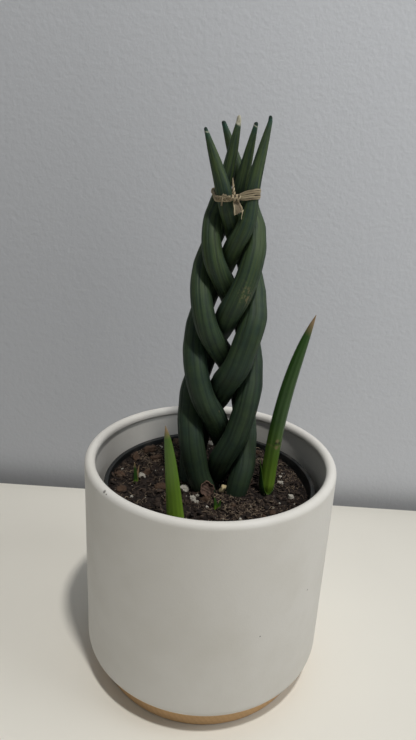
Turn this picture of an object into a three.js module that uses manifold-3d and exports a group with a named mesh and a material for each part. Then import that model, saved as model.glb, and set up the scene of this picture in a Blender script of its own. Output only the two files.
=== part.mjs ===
// Braided cylindrical snake plant: five round leaves plaited flat and tied near the top, with four young shoots,
// growing in soil in a thin nursery pot that stands inside a white ceramic pot on a wooden base.
// Millimetres, +Z up. The origin is the centre of the base's underside, and the braid's broad side faces -Y.

import * as THREE from 'three';
import { mergeVertices } from 'three/addons/utils/BufferGeometryUtils.js';
import Module from 'manifold-3d';

const wasm = await Module();
wasm.setup();

// ---------------------------------------------------------------- driving dimensions

const CLEARANCE = 0.3;            // gap between neighbours that don't stand face to face
const POT_SIDES = 48;

const BASE_RADIUS = 68.5;
const BASE_HEIGHT = 14.5;
const BASE_CHAMFER = 1;

const POT_RADIUS = 78;
const POT_TOP = 148;
const POT_INSIDE = 73;            // radius of the inner wall
const POT_FLOOR = 20.5;           // height of the floor's upper side
const POT_CORNER = 7;             // rounding of the lower outside edge
const INNER_CORNER = 5;
const LIP_ROUND = 3.2;            // the lip is a half round of this radius
const BEAD_DEPTH = 5;             // the thicker rim reaches this far down the inner wall

const NURSERY_TOP = 129.5;
const NURSERY_RADIUS = 66.7;      // over its rim
const NURSERY_FOOT = 52;          // radius at its floor
const NURSERY_WALL = 1.2;
const NURSERY_FLOOR = 1.5;
const RIM_DEPTH = 3.4;            // height of the nursery pot's rim
const DRAIN_HOLES = 6;
const DRAIN_RADIUS = 4;
const DRAIN_CIRCLE = 34;

const SOIL_EDGE = 126.6;          // height of the soil at the wall
const SOIL_MOUND = 3;             // rise towards the middle
const SOIL_RINGS = 10;
const PERLITE_GRAINS = 6;
const BARK_CHIPS = 12;

const SOIL_LEVEL = 128;           // height at which the leaves come out of the soil
const FOOT_Z = 100;               // height of the leaves' feet
const NECK_Z = 150;               // the leaves narrow from here down to their feet
const TIE_Z = 303.5;
const BRAID_DEPTH = 38.6;         // from front to back of the leaves below the tie
const TIE_DEPTH = 27;             // the same at the tie
const FOOT_ROOM = 0.88;           // the braid may be deeper by this at its foot, in front and behind
const GATHER_LENGTH = 18.2;       // the leaves draw together over this length below the tie
const LEVEL_STEP = 3;             // spacing of the levels at which the braid is worked out
const LEVEL_COUNT = 82;
const LEAF_SIDES = 16;            // eight flutes
const LEAF_RINGS = 38;
const FLUTE_DEPTH = 0.045;        // share of the radius
const LEAF_GAP = 0.485;           // aimed at between the round hulls of two leaves
const SIDE_SLACK = 1.17;          // a leaf is pushed about this far sideways at most
const DEPTH_FIRST = 0.66;         // share of a sideways push against a push in depth

const TIE_HEIGHT = 4.8;
const TIE_THICKNESS = 1;
const TIE_CLIMB = 1.3;            // height of the band's middle at the sides and behind, above TIE_Z
const TIE_SAG = 3.2;              // the band hangs lower by this at the left front
const TIE_DIRECTIONS = 40;

// The five leaves in the order in which they take turns at the braid's right edge. The tie gathers four of them
// round the fourth one: tied is where a leaf passes the tie, as x and y from the braid's axis, taper is the length
// over which its thickness builds up from the tip, slim is how much slimmer its very tip is, as a share, lead is how
// many degrees it is ahead of its turn in the plait, and foot is how far its foot stands out of line, in x and y.
const LEAVES = [
  { name: 'leaf_1', plumpness: 1.023, taper: 52.7, slim: 0.14, lead: 3.8, foot: [1.2, 4] },
  { name: 'leaf_2', plumpness: 1.163, taper: 66.5, slim: 0.46, lead: -3.1, foot: [0, 0] },
  { name: 'leaf_3', plumpness: 0.991, taper: 61.6, slim: 0, lead: -0.4, foot: [3.8, -4.8] },
  { name: 'leaf_4', plumpness: 0.988, taper: 64.6, slim: 0.16, lead: -3.4, foot: [0, -10] },
  { name: 'leaf_5', plumpness: 1.034, taper: 74.3, slim: 0.32, lead: -3, foot: [2, 3] },
];
const TIED = [[5.02, 8.2], [-5.69, -7], [-4.2, 4], [1.07, -0.3], [7.27, -7]];
const TIPS = [[-3.56, 10, 340], [-12.39, -8, 335.3], [5, 3, 342.5], [13.53, 0, 339.5], [20.95, -4, 342.5]];
LEAVES.forEach((leaf, turn) => Object.assign(leaf, { tied: TIED[turn], tip: TIPS[turn] }));

// ---------------------------------------------------------------- small tools

const range = (count, make) => Array.from({ length: count }, (_, i) => make(i));
const mix = (a, b, t) => a + (b - a) * t;
const clamp = THREE.MathUtils.clamp;

// A repeatable draw between 0 and 1.
function seededDraw(seed) {
  let state = seed;
  return () => {
    state = (state * 1664525 + 1013904223) % 4294967296;
    return state / 4294967296;
  };
}

// Points on an arc about (cx, cy), from one angle to another, in degrees.
function arc(cx, cy, radius, from, to, steps) {
  return range(steps + 1, (i) => {
    const angle = THREE.MathUtils.degToRad(mix(from, to, i / steps));
    return [cx + radius * Math.cos(angle), cy + radius * Math.sin(angle)];
  });
}

// A closed geometry as a solid: shared vertices are merged and flat triangles left out.
function solidOf(geometry) {
  const bare = geometry.clone();
  bare.deleteAttribute('normal');
  bare.deleteAttribute('uv');
  const welded = mergeVertices(bare, 1e-4);
  const index = Array.from(welded.index.array);
  const kept = [];
  for (let i = 0; i < index.length; i += 3) {
    const [a, b, c] = index.slice(i, i + 3);
    if (a !== b && b !== c && c !== a) kept.push(a, b, c);
  }
  return new wasm.Manifold(new wasm.Mesh({
    numProp: 3,
    vertProperties: new Float32Array(welded.attributes.position.array),
    triVerts: new Uint32Array(kept),
  }));
}

function geometryOf(solid) {
  const mesh = solid.getMesh();
  const geometry = new THREE.BufferGeometry();
  geometry.setAttribute('position', new THREE.BufferAttribute(mesh.vertProperties, 3));
  geometry.setIndex(new THREE.BufferAttribute(mesh.triVerts, 1));
  geometry.computeVertexNormals();
  return geometry;
}

// A profile of [radius, height] pairs turned about the Z axis, from the lower pole round the outside to the last pole.
function turned(profile, sides) {
  const geometry = new THREE.LatheGeometry(profile.map(([r, z]) => new THREE.Vector2(r, z)), sides);
  return geometry.rotateX(Math.PI / 2);
}

// A turned profile carried along a path. pathAt gives the path's point at a height, and sectionAt gives the scales
// of the section sideways and in depth, at an angle and a height.
function carried(profile, sides, pathAt, sectionAt = () => [1, 1]) {
  const geometry = turned(profile, sides);
  const position = geometry.attributes.position;
  for (let i = 0; i < position.count; i += 1) {
    const first = i % profile.length;
    if (i >= sides * profile.length) {
      position.setXYZ(i, position.getX(first), position.getY(first), position.getZ(first));
      continue;
    }
    const [x, y, z] = [position.getX(i), position.getY(i), position.getZ(i)];
    const along = pathAt(z + 1).sub(pathAt(z - 1)).normalize();
    const sideways = new THREE.Vector3(1, 0, 0).addScaledVector(along, -along.x).normalize();
    const inwards = along.clone().cross(sideways);
    const [width, depth] = sectionAt(Math.atan2(y, x), z);
    const point = pathAt(z).addScaledVector(sideways, x * width).addScaledVector(inwards, y * depth);
    position.setXYZ(i, point.x, point.y, point.z);
  }
  return geometry;
}

// ---------------------------------------------------------------- the braid

// The leaves swap places in steps of 36 degrees round a flat eight. The steps are 16.9 mm long at z = 283.7, and
// grow longer towards the soil. A leaf comes late to the left edge, by up to LEFT_DELAY degrees near the tips.
const STEP_START = 283.66;
const STEP_LENGTH = 16.885;
const STEP_GROWTH = 0.8136;
const LEFT_DELAY = 23.5;
const LEFT_PULL = 1.3;            // the tie draws the leaves at the left edge in by this

function stepsBelowStart(z) {
  const root = Math.sqrt(STEP_LENGTH ** 2 + 4 * STEP_GROWTH * (STEP_START - z));
  return (root - STEP_LENGTH) / (2 * STEP_GROWTH);
}

const axisX = (z) => 2.91 + (z - SOIL_LEVEL) * 0.009;
const halfWidth = (z) => 12.52 + 10.95 * (1 - ((z - 181.8) / 140) ** 2);
const nearFoot = (z) => 1 - THREE.MathUtils.smoothstep(z, 130, 166);

// The leaf is slim at its tip, near full within 100 mm, and narrows again from NECK_Z down to its foot.
function leafRadius(leaf, z) {
  const fromTip = Math.max(leaf.tip[2] - z, 0);
  const neck = clamp((NECK_Z - z) / (NECK_Z - FOOT_Z), 0, 1);
  const full = 0.878 + 6.776 * (1 - Math.exp(-fromTip / leaf.taper)) ** 0.861;
  const slim = 1 - leaf.slim * Math.exp(-fromTip / 6);
  return full * slim * leaf.plumpness * (1 - 0.24 * neck);
}

// Where a leaf would run if the leaves had no thickness, as x and y from the braid's axis.
function plannedPoint(leaf, turn, z) {
  const height = clamp(z, SOIL_LEVEL - 6, TIE_Z);
  const evenAngle = THREE.MathUtils.degToRad(72 * turn + leaf.lead - 36 * stepsBelowStart(height));
  const delay = LEFT_DELAY * THREE.MathUtils.smoothstep(height, 150.9, 322.7);
  const angle = evenAngle + THREE.MathUtils.degToRad(delay) * (0.5 - 0.5 * Math.cos(evenAngle));
  const radius = leafRadius(leaf, height);
  const [footX, footY] = leaf.foot.map((value) => value * nearFoot(height));
  const pull = THREE.MathUtils.smoothstep(-Math.cos(angle), 0, 0.8) * THREE.MathUtils.smoothstep(height, 262, 284);
  const plaitX = (halfWidth(height) - radius) * Math.cos(angle) + LEFT_PULL * pull + footX;
  const plaitY = 1.58 * radius * (Math.sin(2 * angle) + 0.2 * Math.sin(6 * angle)) + footY;
  const gathered = THREE.MathUtils.smoothstep(height, TIE_Z - GATHER_LENGTH, TIE_Z);
  const x = mix(plaitX, leaf.tied[0], gathered);
  const y = mix(plaitY, leaf.tied[1], gathered);
  const free = Math.max((z - TIE_Z) / (leaf.tip[2] - TIE_Z), 0);
  return [mix(x, leaf.tip[0] - axisX(leaf.tip[2]), free), mix(y, leaf.tip[1], free)];
}

// One pass of a 1-2-1 filter along a list of [x, y] pairs, with fixed ends.
function smoothed(list, weight) {
  return list.map((p, i) => {
    if (i === 0 || i === list.length - 1) return p;
    return p.map((value, c) => value + weight * (0.5 * (list[i - 1][c] + list[i + 1][c]) - value));
  });
}

// The leaves press each other apart, level by level, until their round hulls clear each other, while the tie
// holds them together near the top.
function settledBraid() {
  const passes = 500;
  const reach = 6;
  const heights = range(LEVEL_COUNT, (i) => FOOT_Z + i * LEVEL_STEP);
  const radii = LEAVES.map((leaf) => heights.map((z) => (z > leaf.tip[2] ? -LEVEL_STEP * reach : leafRadius(leaf, z))));
  const plans = LEAVES.map((leaf, turn) => {
    let plan = heights.map((z) => plannedPoint(leaf, turn, z));
    for (let pass = 0; pass < 12; pass += 1) plan = smoothed(plan, 0.5);
    return plan;
  });
  let shifts = plans.map((plan) => plan.map(() => [0, 0]));
  for (let pass = 0; pass < passes; pass += 1) {
    const places = plans.map((plan, k) => plan.map(([x, y], i) => [x + shifts[k][i][0], y + shifts[k][i][1]]));
    shifts = shifts.map((shift, a) => shift.map(([sx, sy], i) => {
      let [moveX, moveY] = [sx, sy];
      for (let b = 0; b < LEAVES.length; b += 1) {
        if (b === a) continue;
        let [deepest, awayX, awayY] = [0, 0, 0];
        for (let j = Math.max(i - reach, 0); j <= Math.min(i + reach, LEVEL_COUNT - 1); j += 1) {
          const dx = places[a][i][0] - places[b][j][0];
          const dy = places[a][i][1] - places[b][j][1];
          const distance = Math.hypot(dx, dy, (i - j) * LEVEL_STEP);
          const depth = radii[a][i] + radii[b][j] + LEAF_GAP - distance;
          if (depth > deepest) [deepest, awayX, awayY] = [depth, dx, dy];
        }
        const flat = Math.hypot(DEPTH_FIRST * awayX, awayY) + 1e-9;
        moveX += 0.5 * deepest * DEPTH_FIRST * awayX / flat;
        moveY += 0.5 * deepest * awayY / flat;
      }
      return [moveX, moveY];
    }));
    const stiffness = 0.5 * (1 - pass / passes) ** 2 + 0.1;
    shifts = shifts.map((shift) => smoothed(shift, stiffness));
    shifts = shifts.map((shift, k) => shift.map(([sx, sy], i) => {
      const [z, r] = [heights[i], radii[k][i]];
      const excess = (value, limit) => value - clamp(value, -limit, limit);
      const halfDepth = mix(BRAID_DEPTH, TIE_DEPTH, THREE.MathUtils.smoothstep(z, 262, TIE_Z)) / 2
        + FOOT_ROOM * nearFoot(z);
      const y = excess(plans[k][i][1] + sy, halfDepth - r);
      const hold = pass < 0.9 * passes ? 0.5 : 0;
      return [sx - hold * excess(sx, SIDE_SLACK), sy - hold * y];
    }));
  }
  return plans.map((plan, k) => plan.map(([x, y], i) => [
    x + shifts[k][i][0] + axisX(heights[i]),
    y + shifts[k][i][1],
  ]));
}

const BRAID = settledBraid();

// A smooth curve through the settled points.
function leafPath(turn) {
  return (z) => {
    const place = clamp((z - FOOT_Z) / LEVEL_STEP, 1, LEVEL_COUNT - 2.001);
    const level = Math.floor(place);
    const t = place - level;
    const [a, b, c, d] = BRAID[turn].slice(level - 1, level + 3);
    const [x, y] = [0, 1].map((i) => b[i] + 0.5 * t * (c[i] - a[i]
      + t * (2 * a[i] - 5 * b[i] + 4 * c[i] - d[i] + t * (3 * (b[i] - c[i]) + d[i] - a[i]))));
    return new THREE.Vector3(x, y, z);
  };
}

function leafSolid(leaf, turn) {
  const length = leaf.tip[2] - FOOT_Z;
  const rings = range(LEAF_RINGS + 1, (i) => FOOT_Z + length * (1 - (1 - i / LEAF_RINGS) ** 1.12));
  const profile = rings.map((z) => [leafRadius(leaf, z), z]);
  const flute = (angle) => {
    const scale = 1 - FLUTE_DEPTH * (0.5 - 0.5 * Math.cos(LEAF_SIDES / 2 * angle));
    return [scale, scale];
  };
  const whole = [[0, FOOT_Z], ...profile, [0, leaf.tip[2] + 0.4]];
  return solidOf(carried(whole, LEAF_SIDES, leafPath(turn), flute));
}

// The space that a stem takes in the soil: its own profile below a height, wider by the clearance.
function socket(profile, sides, pathAt, sectionAt) {
  const wider = profile.map(([r, z]) => [r + 1.2 * CLEARANCE, z]);
  const [bottom, top] = [wider[0][1] - CLEARANCE, wider[wider.length - 1][1]];
  return solidOf(carried([[0, bottom], [wider[0][0], bottom], ...wider, [0, top]], sides, pathAt, sectionAt));
}

function leafSocket(leaf, turn) {
  const heights = range(6, (i) => mix(FOOT_Z, SOIL_LEVEL + 9, i / 5));
  return socket(heights.map((z) => [leafRadius(leaf, z), z]), LEAF_SIDES, leafPath(turn));
}

// ---------------------------------------------------------------- the young shoots

const SHOOT_FOOT = 106;
const SHOOT_SIDES = 12;

const SHOOT_RIGHT = { x: 35.2, y: -11, tip: 242.2, lean: 18.4, radius: 4.3 };

function shootRightPath(z) {
  const share = clamp((z - SHOOT_FOOT) / (SHOOT_RIGHT.tip - SHOOT_FOOT), 0, 1.02);
  return new THREE.Vector3(SHOOT_RIGHT.x + SHOOT_RIGHT.lean * share ** 2.5, SHOOT_RIGHT.y, z);
}

function shootRightRadius(z) {
  return 0.25 + SHOOT_RIGHT.radius * (1 - Math.exp((z - SHOOT_RIGHT.tip) / 20));
}

// The sheath is a short cup round the shoot's foot, with a pointed flap that stands off to the left.
const SHEATH_TOP = 134;
const SHEATH_RADIUS = 5.1;
const FLAP = { foot: 122, top: 152, x: 33.2, lean: -3.7, width: 3.2, depth: 1.3 };

function flapPath(z) {
  const share = clamp((z - FLAP.foot) / (FLAP.top - FLAP.foot), 0, 1);
  return new THREE.Vector3(FLAP.x + FLAP.lean * share ** 1.4, SHOOT_RIGHT.y - 1.2, z);
}

function shootRightSolid() {
  const rings = range(19, (i) => SHOOT_FOOT + (SHOOT_RIGHT.tip - SHOOT_FOOT) * (1 - (1 - i / 18) ** 1.5));
  const stem = [[0, SHOOT_FOOT], ...rings.map((z) => [shootRightRadius(z), z]), [0, SHOOT_RIGHT.tip + 0.6]];
  const cup = [
    [0, SHOOT_FOOT + 2],
    [SHEATH_RADIUS - 1, SHOOT_FOOT + 2],
    [SHEATH_RADIUS, SOIL_LEVEL],
    [SHEATH_RADIUS - 0.3, SHEATH_TOP],
    [0, SHEATH_TOP + 1],
  ];
  const flap = range(7, (i) => {
    const share = i / 6;
    return [mix(1, 0.12, share ** 1.6), mix(FLAP.foot, FLAP.top, share)];
  });
  const flapProfile = [[0, FLAP.foot], ...flap, [0, FLAP.top + 0.3]];
  return solidOf(carried(stem, SHOOT_SIDES, shootRightPath))
    .add(solidOf(carried(cup, SHOOT_SIDES, shootRightPath)))
    .add(solidOf(carried(flapProfile, 8, flapPath, () => [FLAP.width * 0.6, FLAP.depth * 2])));
}

function shootRightSocket() {
  const profile = [
    [shootRightRadius(SHOOT_FOOT), SHOOT_FOOT],
    [SHEATH_RADIUS, SHOOT_FOOT + 2],
    [SHEATH_RADIUS, SOIL_LEVEL + 6],
  ];
  return socket(profile, SHOOT_SIDES, shootRightPath);
}

const SHOOT_LEFT = { x: -17.3, y: -50, tip: 188.8, slope: -0.098, bend: -1.2, depth: 0.6 };

function shootLeftPath(z) {
  const share = Math.max((z - SOIL_LEVEL) / (SHOOT_LEFT.tip - SOIL_LEVEL), 0);
  const x = SHOOT_LEFT.x + SHOOT_LEFT.slope * Math.max(z - SOIL_LEVEL, 0) + SHOOT_LEFT.bend * share ** 4;
  return new THREE.Vector3(x, SHOOT_LEFT.y - 1.5 * share ** 2, z);
}

function shootLeftRadius(z) {
  const fromTip = SHOOT_LEFT.tip - Math.max(z, SOIL_LEVEL);
  const buried = clamp((SOIL_LEVEL - z) / (SOIL_LEVEL - SHOOT_FOOT), 0, 1);
  return (0.2 + 0.62 * Math.sqrt(fromTip) * (1 - Math.exp(-fromTip / 3))) * (1 - 0.3 * buried);
}

// A flattened oval with a channel down the side that faces the braid.
function shootLeftSection(angle) {
  const channel = Math.max(Math.sin(angle), 0) ** 3;
  return [1, SHOOT_LEFT.depth * (1 - 0.35 * channel)];
}

function shootLeftSolid() {
  const rings = range(15, (i) => mix(SHOOT_FOOT, SHOOT_LEFT.tip, 1 - (1 - i / 14) ** 1.4));
  const profile = [[0, SHOOT_FOOT], ...rings.map((z) => [shootLeftRadius(z), z]), [0, SHOOT_LEFT.tip + 0.4]];
  return solidOf(carried(profile, SHOOT_SIDES, shootLeftPath, shootLeftSection));
}

function shootLeftSocket() {
  const heights = range(4, (i) => mix(SHOOT_FOOT, SOIL_LEVEL + 6, i / 3));
  const section = () => [1, SHOOT_LEFT.depth + 0.05];
  return socket(heights.map((z) => [shootLeftRadius(z), z]), SHOOT_SIDES, shootLeftPath, section);
}

// A tiny sprout is two slim blades from one foot, each leaning its own way.
const SPROUT_FOOT = 119;
const SPROUT_STEM = 1.7;
const SPROUTS = [
  { name: 'sprout_left', x: -46, y: -8, blades: [[142, -1.2, 1], [139.5, 1.6, 2]] },
  { name: 'sprout_front', x: 5.4, y: -33.2, blades: [[136.8, -2.2, 1], [136, 1.9, -0.4]] },
];

function bladeSolid(sprout, [top, leanX, leanY]) {
  const path = (z) => {
    const share = clamp((z - SPROUT_FOOT) / (top - SPROUT_FOOT), 0, 1);
    return new THREE.Vector3(sprout.x + leanX * share ** 2, sprout.y + leanY * share ** 2, z);
  };
  const profile = range(7, (i) => {
    const share = i / 6;
    return [SPROUT_STEM * (1 - share ** 2.4) + 0.15, mix(SPROUT_FOOT, top, share)];
  });
  return solidOf(carried([[0, SPROUT_FOOT], ...profile, [0, top + 0.2]], 8, path));
}

function sproutSocket(sprout) {
  const straight = (z) => new THREE.Vector3(sprout.x, sprout.y, z);
  return socket([[SPROUT_STEM + 0.5, SPROUT_FOOT], [SPROUT_STEM + 0.9, SOIL_LEVEL + 6]], 10, straight);
}

// ---------------------------------------------------------------- the dry husk at the braid's foot

const HUSK = { x: -1.4, y: -22.4, z: 135.2, radius: 4.5, dish: 2.2, wall: 0.9, tilt: 58 };

const huskCurve = range(5, (i) => {
  const angle = i / 4 * Math.PI / 2;
  return [HUSK.radius * Math.sin(angle), -HUSK.dish * Math.cos(angle)];
});

function huskPlaced(profile) {
  return solidOf(turned(profile, 14).scale(1, 0.9, 1)
    .rotateX(THREE.MathUtils.degToRad(HUSK.tilt))
    .translate(HUSK.x, HUSK.y, HUSK.z));
}

// A shallow dish whose hollow faces the front and upwards.
function huskSolid() {
  const outer = huskCurve.map(([r, z]) => [r, z - HUSK.wall / 2]);
  const inner = huskCurve.map(([r, z]) => [r * 0.9, z * 0.9 + HUSK.wall / 2]).reverse();
  return huskPlaced([...outer, ...inner]);
}

function huskSocket() {
  const extra = 1.3 * CLEARANCE;
  const outer = huskCurve.map(([r, z]) => [r > 0 ? r + extra : 0, z - HUSK.wall / 2 - extra]);
  const top = HUSK.wall / 2 + extra;
  return huskPlaced([...outer, [HUSK.radius + extra, top], [0, top]]);
}

// ---------------------------------------------------------------- the tie

// How far the bundle of leaves reaches in a direction, at a height near the tie.
function bundleReach(angle, height) {
  const [nx, ny] = [Math.cos(angle), Math.sin(angle)];
  let reach = -Infinity;
  LEAVES.forEach((leaf, turn) => {
    for (let dz = -4.5; dz <= 4.5; dz += 0.75) {
      const radius = leafRadius(leaf, height + dz);
      if (Math.abs(dz) >= radius) continue;
      const point = leafPath(turn)(height + dz);
      reach = Math.max(reach, point.x * nx + point.y * ny + Math.sqrt(radius ** 2 - dz ** 2));
    }
  });
  return reach;
}

// A point of the bundle's outline, grown by a distance: the support line's foot plus its slope.
function bundleOutline(angle, height, grow) {
  const step = 0.02;
  const reach = bundleReach(angle, height) + grow;
  const slope = (bundleReach(angle + step, height) - bundleReach(angle - step, height)) / (2 * step);
  return [reach * Math.cos(angle) - slope * Math.sin(angle), reach * Math.sin(angle) + slope * Math.cos(angle)];
}

// The band's middle sags at the front between the left side and the knot, and climbs from there to the right.
function tieHeight(angle) {
  const [x, y] = bundleOutline(angle, TIE_Z, 0);
  const climb = THREE.MathUtils.smoothstep(x, -2, 18);
  const leftEnd = THREE.MathUtils.smoothstep(-x, 4.8, 7.6);
  return TIE_Z + TIE_CLIMB - TIE_SAG * (1 - climb) * (1 - leftEnd) * THREE.MathUtils.smoothstep(-y, 0, 6);
}

// A thin flat strip: a six-sided turned profile of [half width, share], carried along a path of shares.
function stripAlong(profile, path, flatness) {
  const step = 0.02;
  const spread = profile.map(([r, share]) => [r, share / step]);
  const pathAt = (place) => path(place * step);
  return carried(spread, 6, pathAt, () => [1, flatness]);
}

function bandSolid() {
  const ring = new THREE.TorusGeometry(10, 1, 8, TIE_DIRECTIONS);
  const position = ring.attributes.position;
  const middles = range(TIE_DIRECTIONS, (i) => tieHeight(i / TIE_DIRECTIONS * 2 * Math.PI));
  for (let i = 0; i < position.count; i += 1) {
    const column = i % (TIE_DIRECTIONS + 1) % TIE_DIRECTIONS;
    const angle = column / TIE_DIRECTIONS * 2 * Math.PI;
    const row = Math.floor(i / (TIE_DIRECTIONS + 1)) % 8;
    const around = row / 8 * 2 * Math.PI;
    const lift = TIE_HEIGHT / 2 * Math.sin(around) * (1 + 0.2 * Math.cos(angle));
    const grow = CLEARANCE + 0.15 + TIE_THICKNESS / 2 * (1 + Math.cos(around));
    const height = middles[column] + lift;
    const [x, y] = bundleOutline(angle, height, grow);
    position.setXYZ(i, x, y, height);
  }
  return solidOf(ring);
}

// The knot sits at the front of the band, with two loose ends, a folded flap and a small stub. The ends run from
// one [x, z] to another, counted from the knot, and bow outwards on their way.
const KNOT = { x: 5.1, z: 302.3, size: [2.7, 1.7, 2.2] };
const TIE_ENDS = [
  { from: [-0.8, 0.8], to: [-2, 9.8], width: 0.7, out: 1.2 },
  { from: [0.3, -1], to: [2.1, -7.6], width: 2, out: 1.9 },
  { from: [-6.3, 1.4], to: [-7, -4.2], width: 0.6, out: 1.2 },
  { from: [1.6, -1.2], to: [3.7, -10.4], width: 0.45, out: 2.3 },
];

function tieSolid() {
  const front = -bundleReach(-Math.PI / 2, KNOT.z) - CLEARANCE - TIE_THICKNESS;
  const knot = new THREE.IcosahedronGeometry(1, 1).scale(...KNOT.size).rotateY(0.2)
    .translate(KNOT.x, front - 0.8, KNOT.z);
  const ends = TIE_ENDS.map(({ from, to, width, out }) => {
    const path = (s) => new THREE.Vector3(
      KNOT.x + mix(from[0], to[0], s),
      front + 0.7 - (out + 0.8) * Math.sin(clamp(s, 0, 1) * Math.PI * 0.7),
      KNOT.z + mix(from[1], to[1], s),
    );
    const profile = range(5, (i) => [width * (1 - 0.35 * (i / 4) ** 2), i / 4]);
    return solidOf(stripAlong([[0, 0], ...profile, [0, 1]], path, clamp(0.5 / width, 0.2, 1)));
  });
  return wasm.Manifold.union([bandSolid(), solidOf(knot), ...ends]);
}

// ---------------------------------------------------------------- the pots and the base

function baseSolid() {
  return solidOf(turned([
    [0, 0],
    [BASE_RADIUS - BASE_CHAMFER, 0],
    [BASE_RADIUS, BASE_CHAMFER],
    [BASE_RADIUS, BASE_HEIGHT - BASE_CHAMFER],
    [BASE_RADIUS - BASE_CHAMFER, BASE_HEIGHT],
    [0, BASE_HEIGHT],
  ], POT_SIDES));
}

function potSolid() {
  const lipCentre = POT_RADIUS - LIP_ROUND;
  const lipHeight = POT_TOP - LIP_ROUND;
  return solidOf(turned([
    [0, BASE_HEIGHT],
    ...arc(POT_RADIUS - POT_CORNER, BASE_HEIGHT + POT_CORNER, POT_CORNER, -90, 0, 4),
    ...arc(lipCentre, lipHeight, LIP_ROUND, 0, 180, 6),
    [lipCentre - LIP_ROUND, POT_TOP - BEAD_DEPTH + 1.5],
    [POT_INSIDE, POT_TOP - BEAD_DEPTH],
    ...arc(POT_INSIDE - INNER_CORNER, POT_FLOOR + INNER_CORNER, INNER_CORNER, 0, -90, 3),
    [0, POT_FLOOR],
  ], POT_SIDES));
}

const NURSERY_BOTTOM = POT_FLOOR;
const SOIL_BOTTOM = NURSERY_BOTTOM + NURSERY_FLOOR;
const RIM_FOOT = NURSERY_TOP - RIM_DEPTH;

// Inner radius of the nursery pot at a height: the wall flares evenly from the floor to the rim.
function nurseryInside(z) {
  const share = (z - NURSERY_BOTTOM) / (RIM_FOOT - NURSERY_BOTTOM);
  return mix(NURSERY_FOOT, NURSERY_RADIUS - 1.6, share) - NURSERY_WALL;
}

function nurserySolid() {
  const shell = solidOf(turned([
    [0, NURSERY_BOTTOM],
    [NURSERY_FOOT, NURSERY_BOTTOM],
    [NURSERY_RADIUS - 1.6, RIM_FOOT],
    [NURSERY_RADIUS, RIM_FOOT + 0.4],
    [NURSERY_RADIUS, NURSERY_TOP - 0.7],
    [NURSERY_RADIUS - 0.7, NURSERY_TOP],
    [NURSERY_RADIUS - 2, NURSERY_TOP],
    [NURSERY_RADIUS - 2.7, NURSERY_TOP - 0.6],
    [nurseryInside(RIM_FOOT), RIM_FOOT],
    [nurseryInside(SOIL_BOTTOM), SOIL_BOTTOM],
    [0, SOIL_BOTTOM],
  ], POT_SIDES));
  const drains = range(DRAIN_HOLES, (i) => {
    const angle = (i + 0.5) / DRAIN_HOLES * 2 * Math.PI;
    const hole = new THREE.CylinderGeometry(DRAIN_RADIUS, DRAIN_RADIUS, 4 * NURSERY_FLOOR, 12)
      .rotateX(Math.PI / 2)
      .translate(DRAIN_CIRCLE * Math.cos(angle), DRAIN_CIRCLE * Math.sin(angle), NURSERY_BOTTOM + NURSERY_FLOOR / 2);
    return solidOf(hole);
  });
  return shell.subtract(wasm.Manifold.union(drains));
}

// ---------------------------------------------------------------- the soil

// A low mound with small hummocks.
function soilHeight(x, y) {
  const out = Math.hypot(x, y) / nurseryInside(SOIL_EDGE);
  const hummocks = 0.55 * Math.sin(x / 4.3 + 1.1) * Math.cos(y / 3.7) + 0.45 * Math.sin((x - 1.4 * y) / 6.1)
    + 0.35 * Math.cos((1.3 * x + y) / 3.1);
  return SOIL_EDGE + SOIL_MOUND * (1 - out ** 2) + hummocks * clamp(4 * (1 - out), 0, 1);
}

// The larger grains and chips that show from a step away: x, y, size, kind, and for one how tall it stands.
const NAMED_LUMPS = [
  [-15.1, -16.8, 2.7, 'perlite'],
  [-9.3, -24, 2, 'perlite'],
  [-6.8, -20.5, 1.3, 'perlite'],
  [-6.8, -28.3, 1.3, 'perlite'],
  [-0.6, -32.6, 1, 'perlite'],
  [8.4, -15, 2.8, 'perlite', 1.8],
  [-43.3, -1.1, 2.4, 'perlite'],
  [45.3, 0.3, 1.8, 'perlite'],
  [50.6, -13.6, 1.9, 'perlite'],
  [46.1, 9.4, 1.1, 'perlite'],
  [-57.6, 8.7, 0.9, 'perlite'],
  [-46.5, -23.8, 1, 'perlite'],
  [-30.5, 9.1, 1, 'perlite'],
  [38.5, -28.4, 0.8, 'perlite'],
  [8.3, -41.6, 1.1, 'perlite'],
  [19, -42.6, 1.2, 'perlite'],
  [56.6, 18.6, 0.9, 'perlite'],
  [-1.6, -24.6, 3.6, 'bark'],
  [-42.8, 35.7, 4.6, 'bark'],
  [-37.2, 22.6, 4.2, 'bark'],
  [-57.6, 0.8, 3.4, 'bark'],
  [-29.9, -13, 4, 'bark'],
  [-26, 26, 4, 'bark'],
  [41, 27, 3.4, 'bark'],
  [-50.5, 24.4, 3.6, 'bark'],
  [-53.5, -16.9, 3.2, 'bark'],
];
const BEHIND_BRAID = 12;          // the scattered grains of perlite lie beyond this y

function lumpSolid([x, y, size, kind, tall = 1], draw) {
  const isBark = kind === 'bark';
  const rough = isBark ? new THREE.BoxGeometry(2 * size, 1.4 * size, 0.9 * size)
    : new THREE.IcosahedronGeometry(size, 0).scale(0.92, 0.83, 0.74 * tall);
  const lump = rough.rotateX(0.8 * (draw() - 0.5))
    .rotateY(0.8 * (draw() - 0.5))
    .rotateZ(2 * Math.PI * draw())
    .translate(x, y, soilHeight(x, y) + (isBark ? 0.1 : 0.25) * size);
  return solidOf(lump);
}

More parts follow.
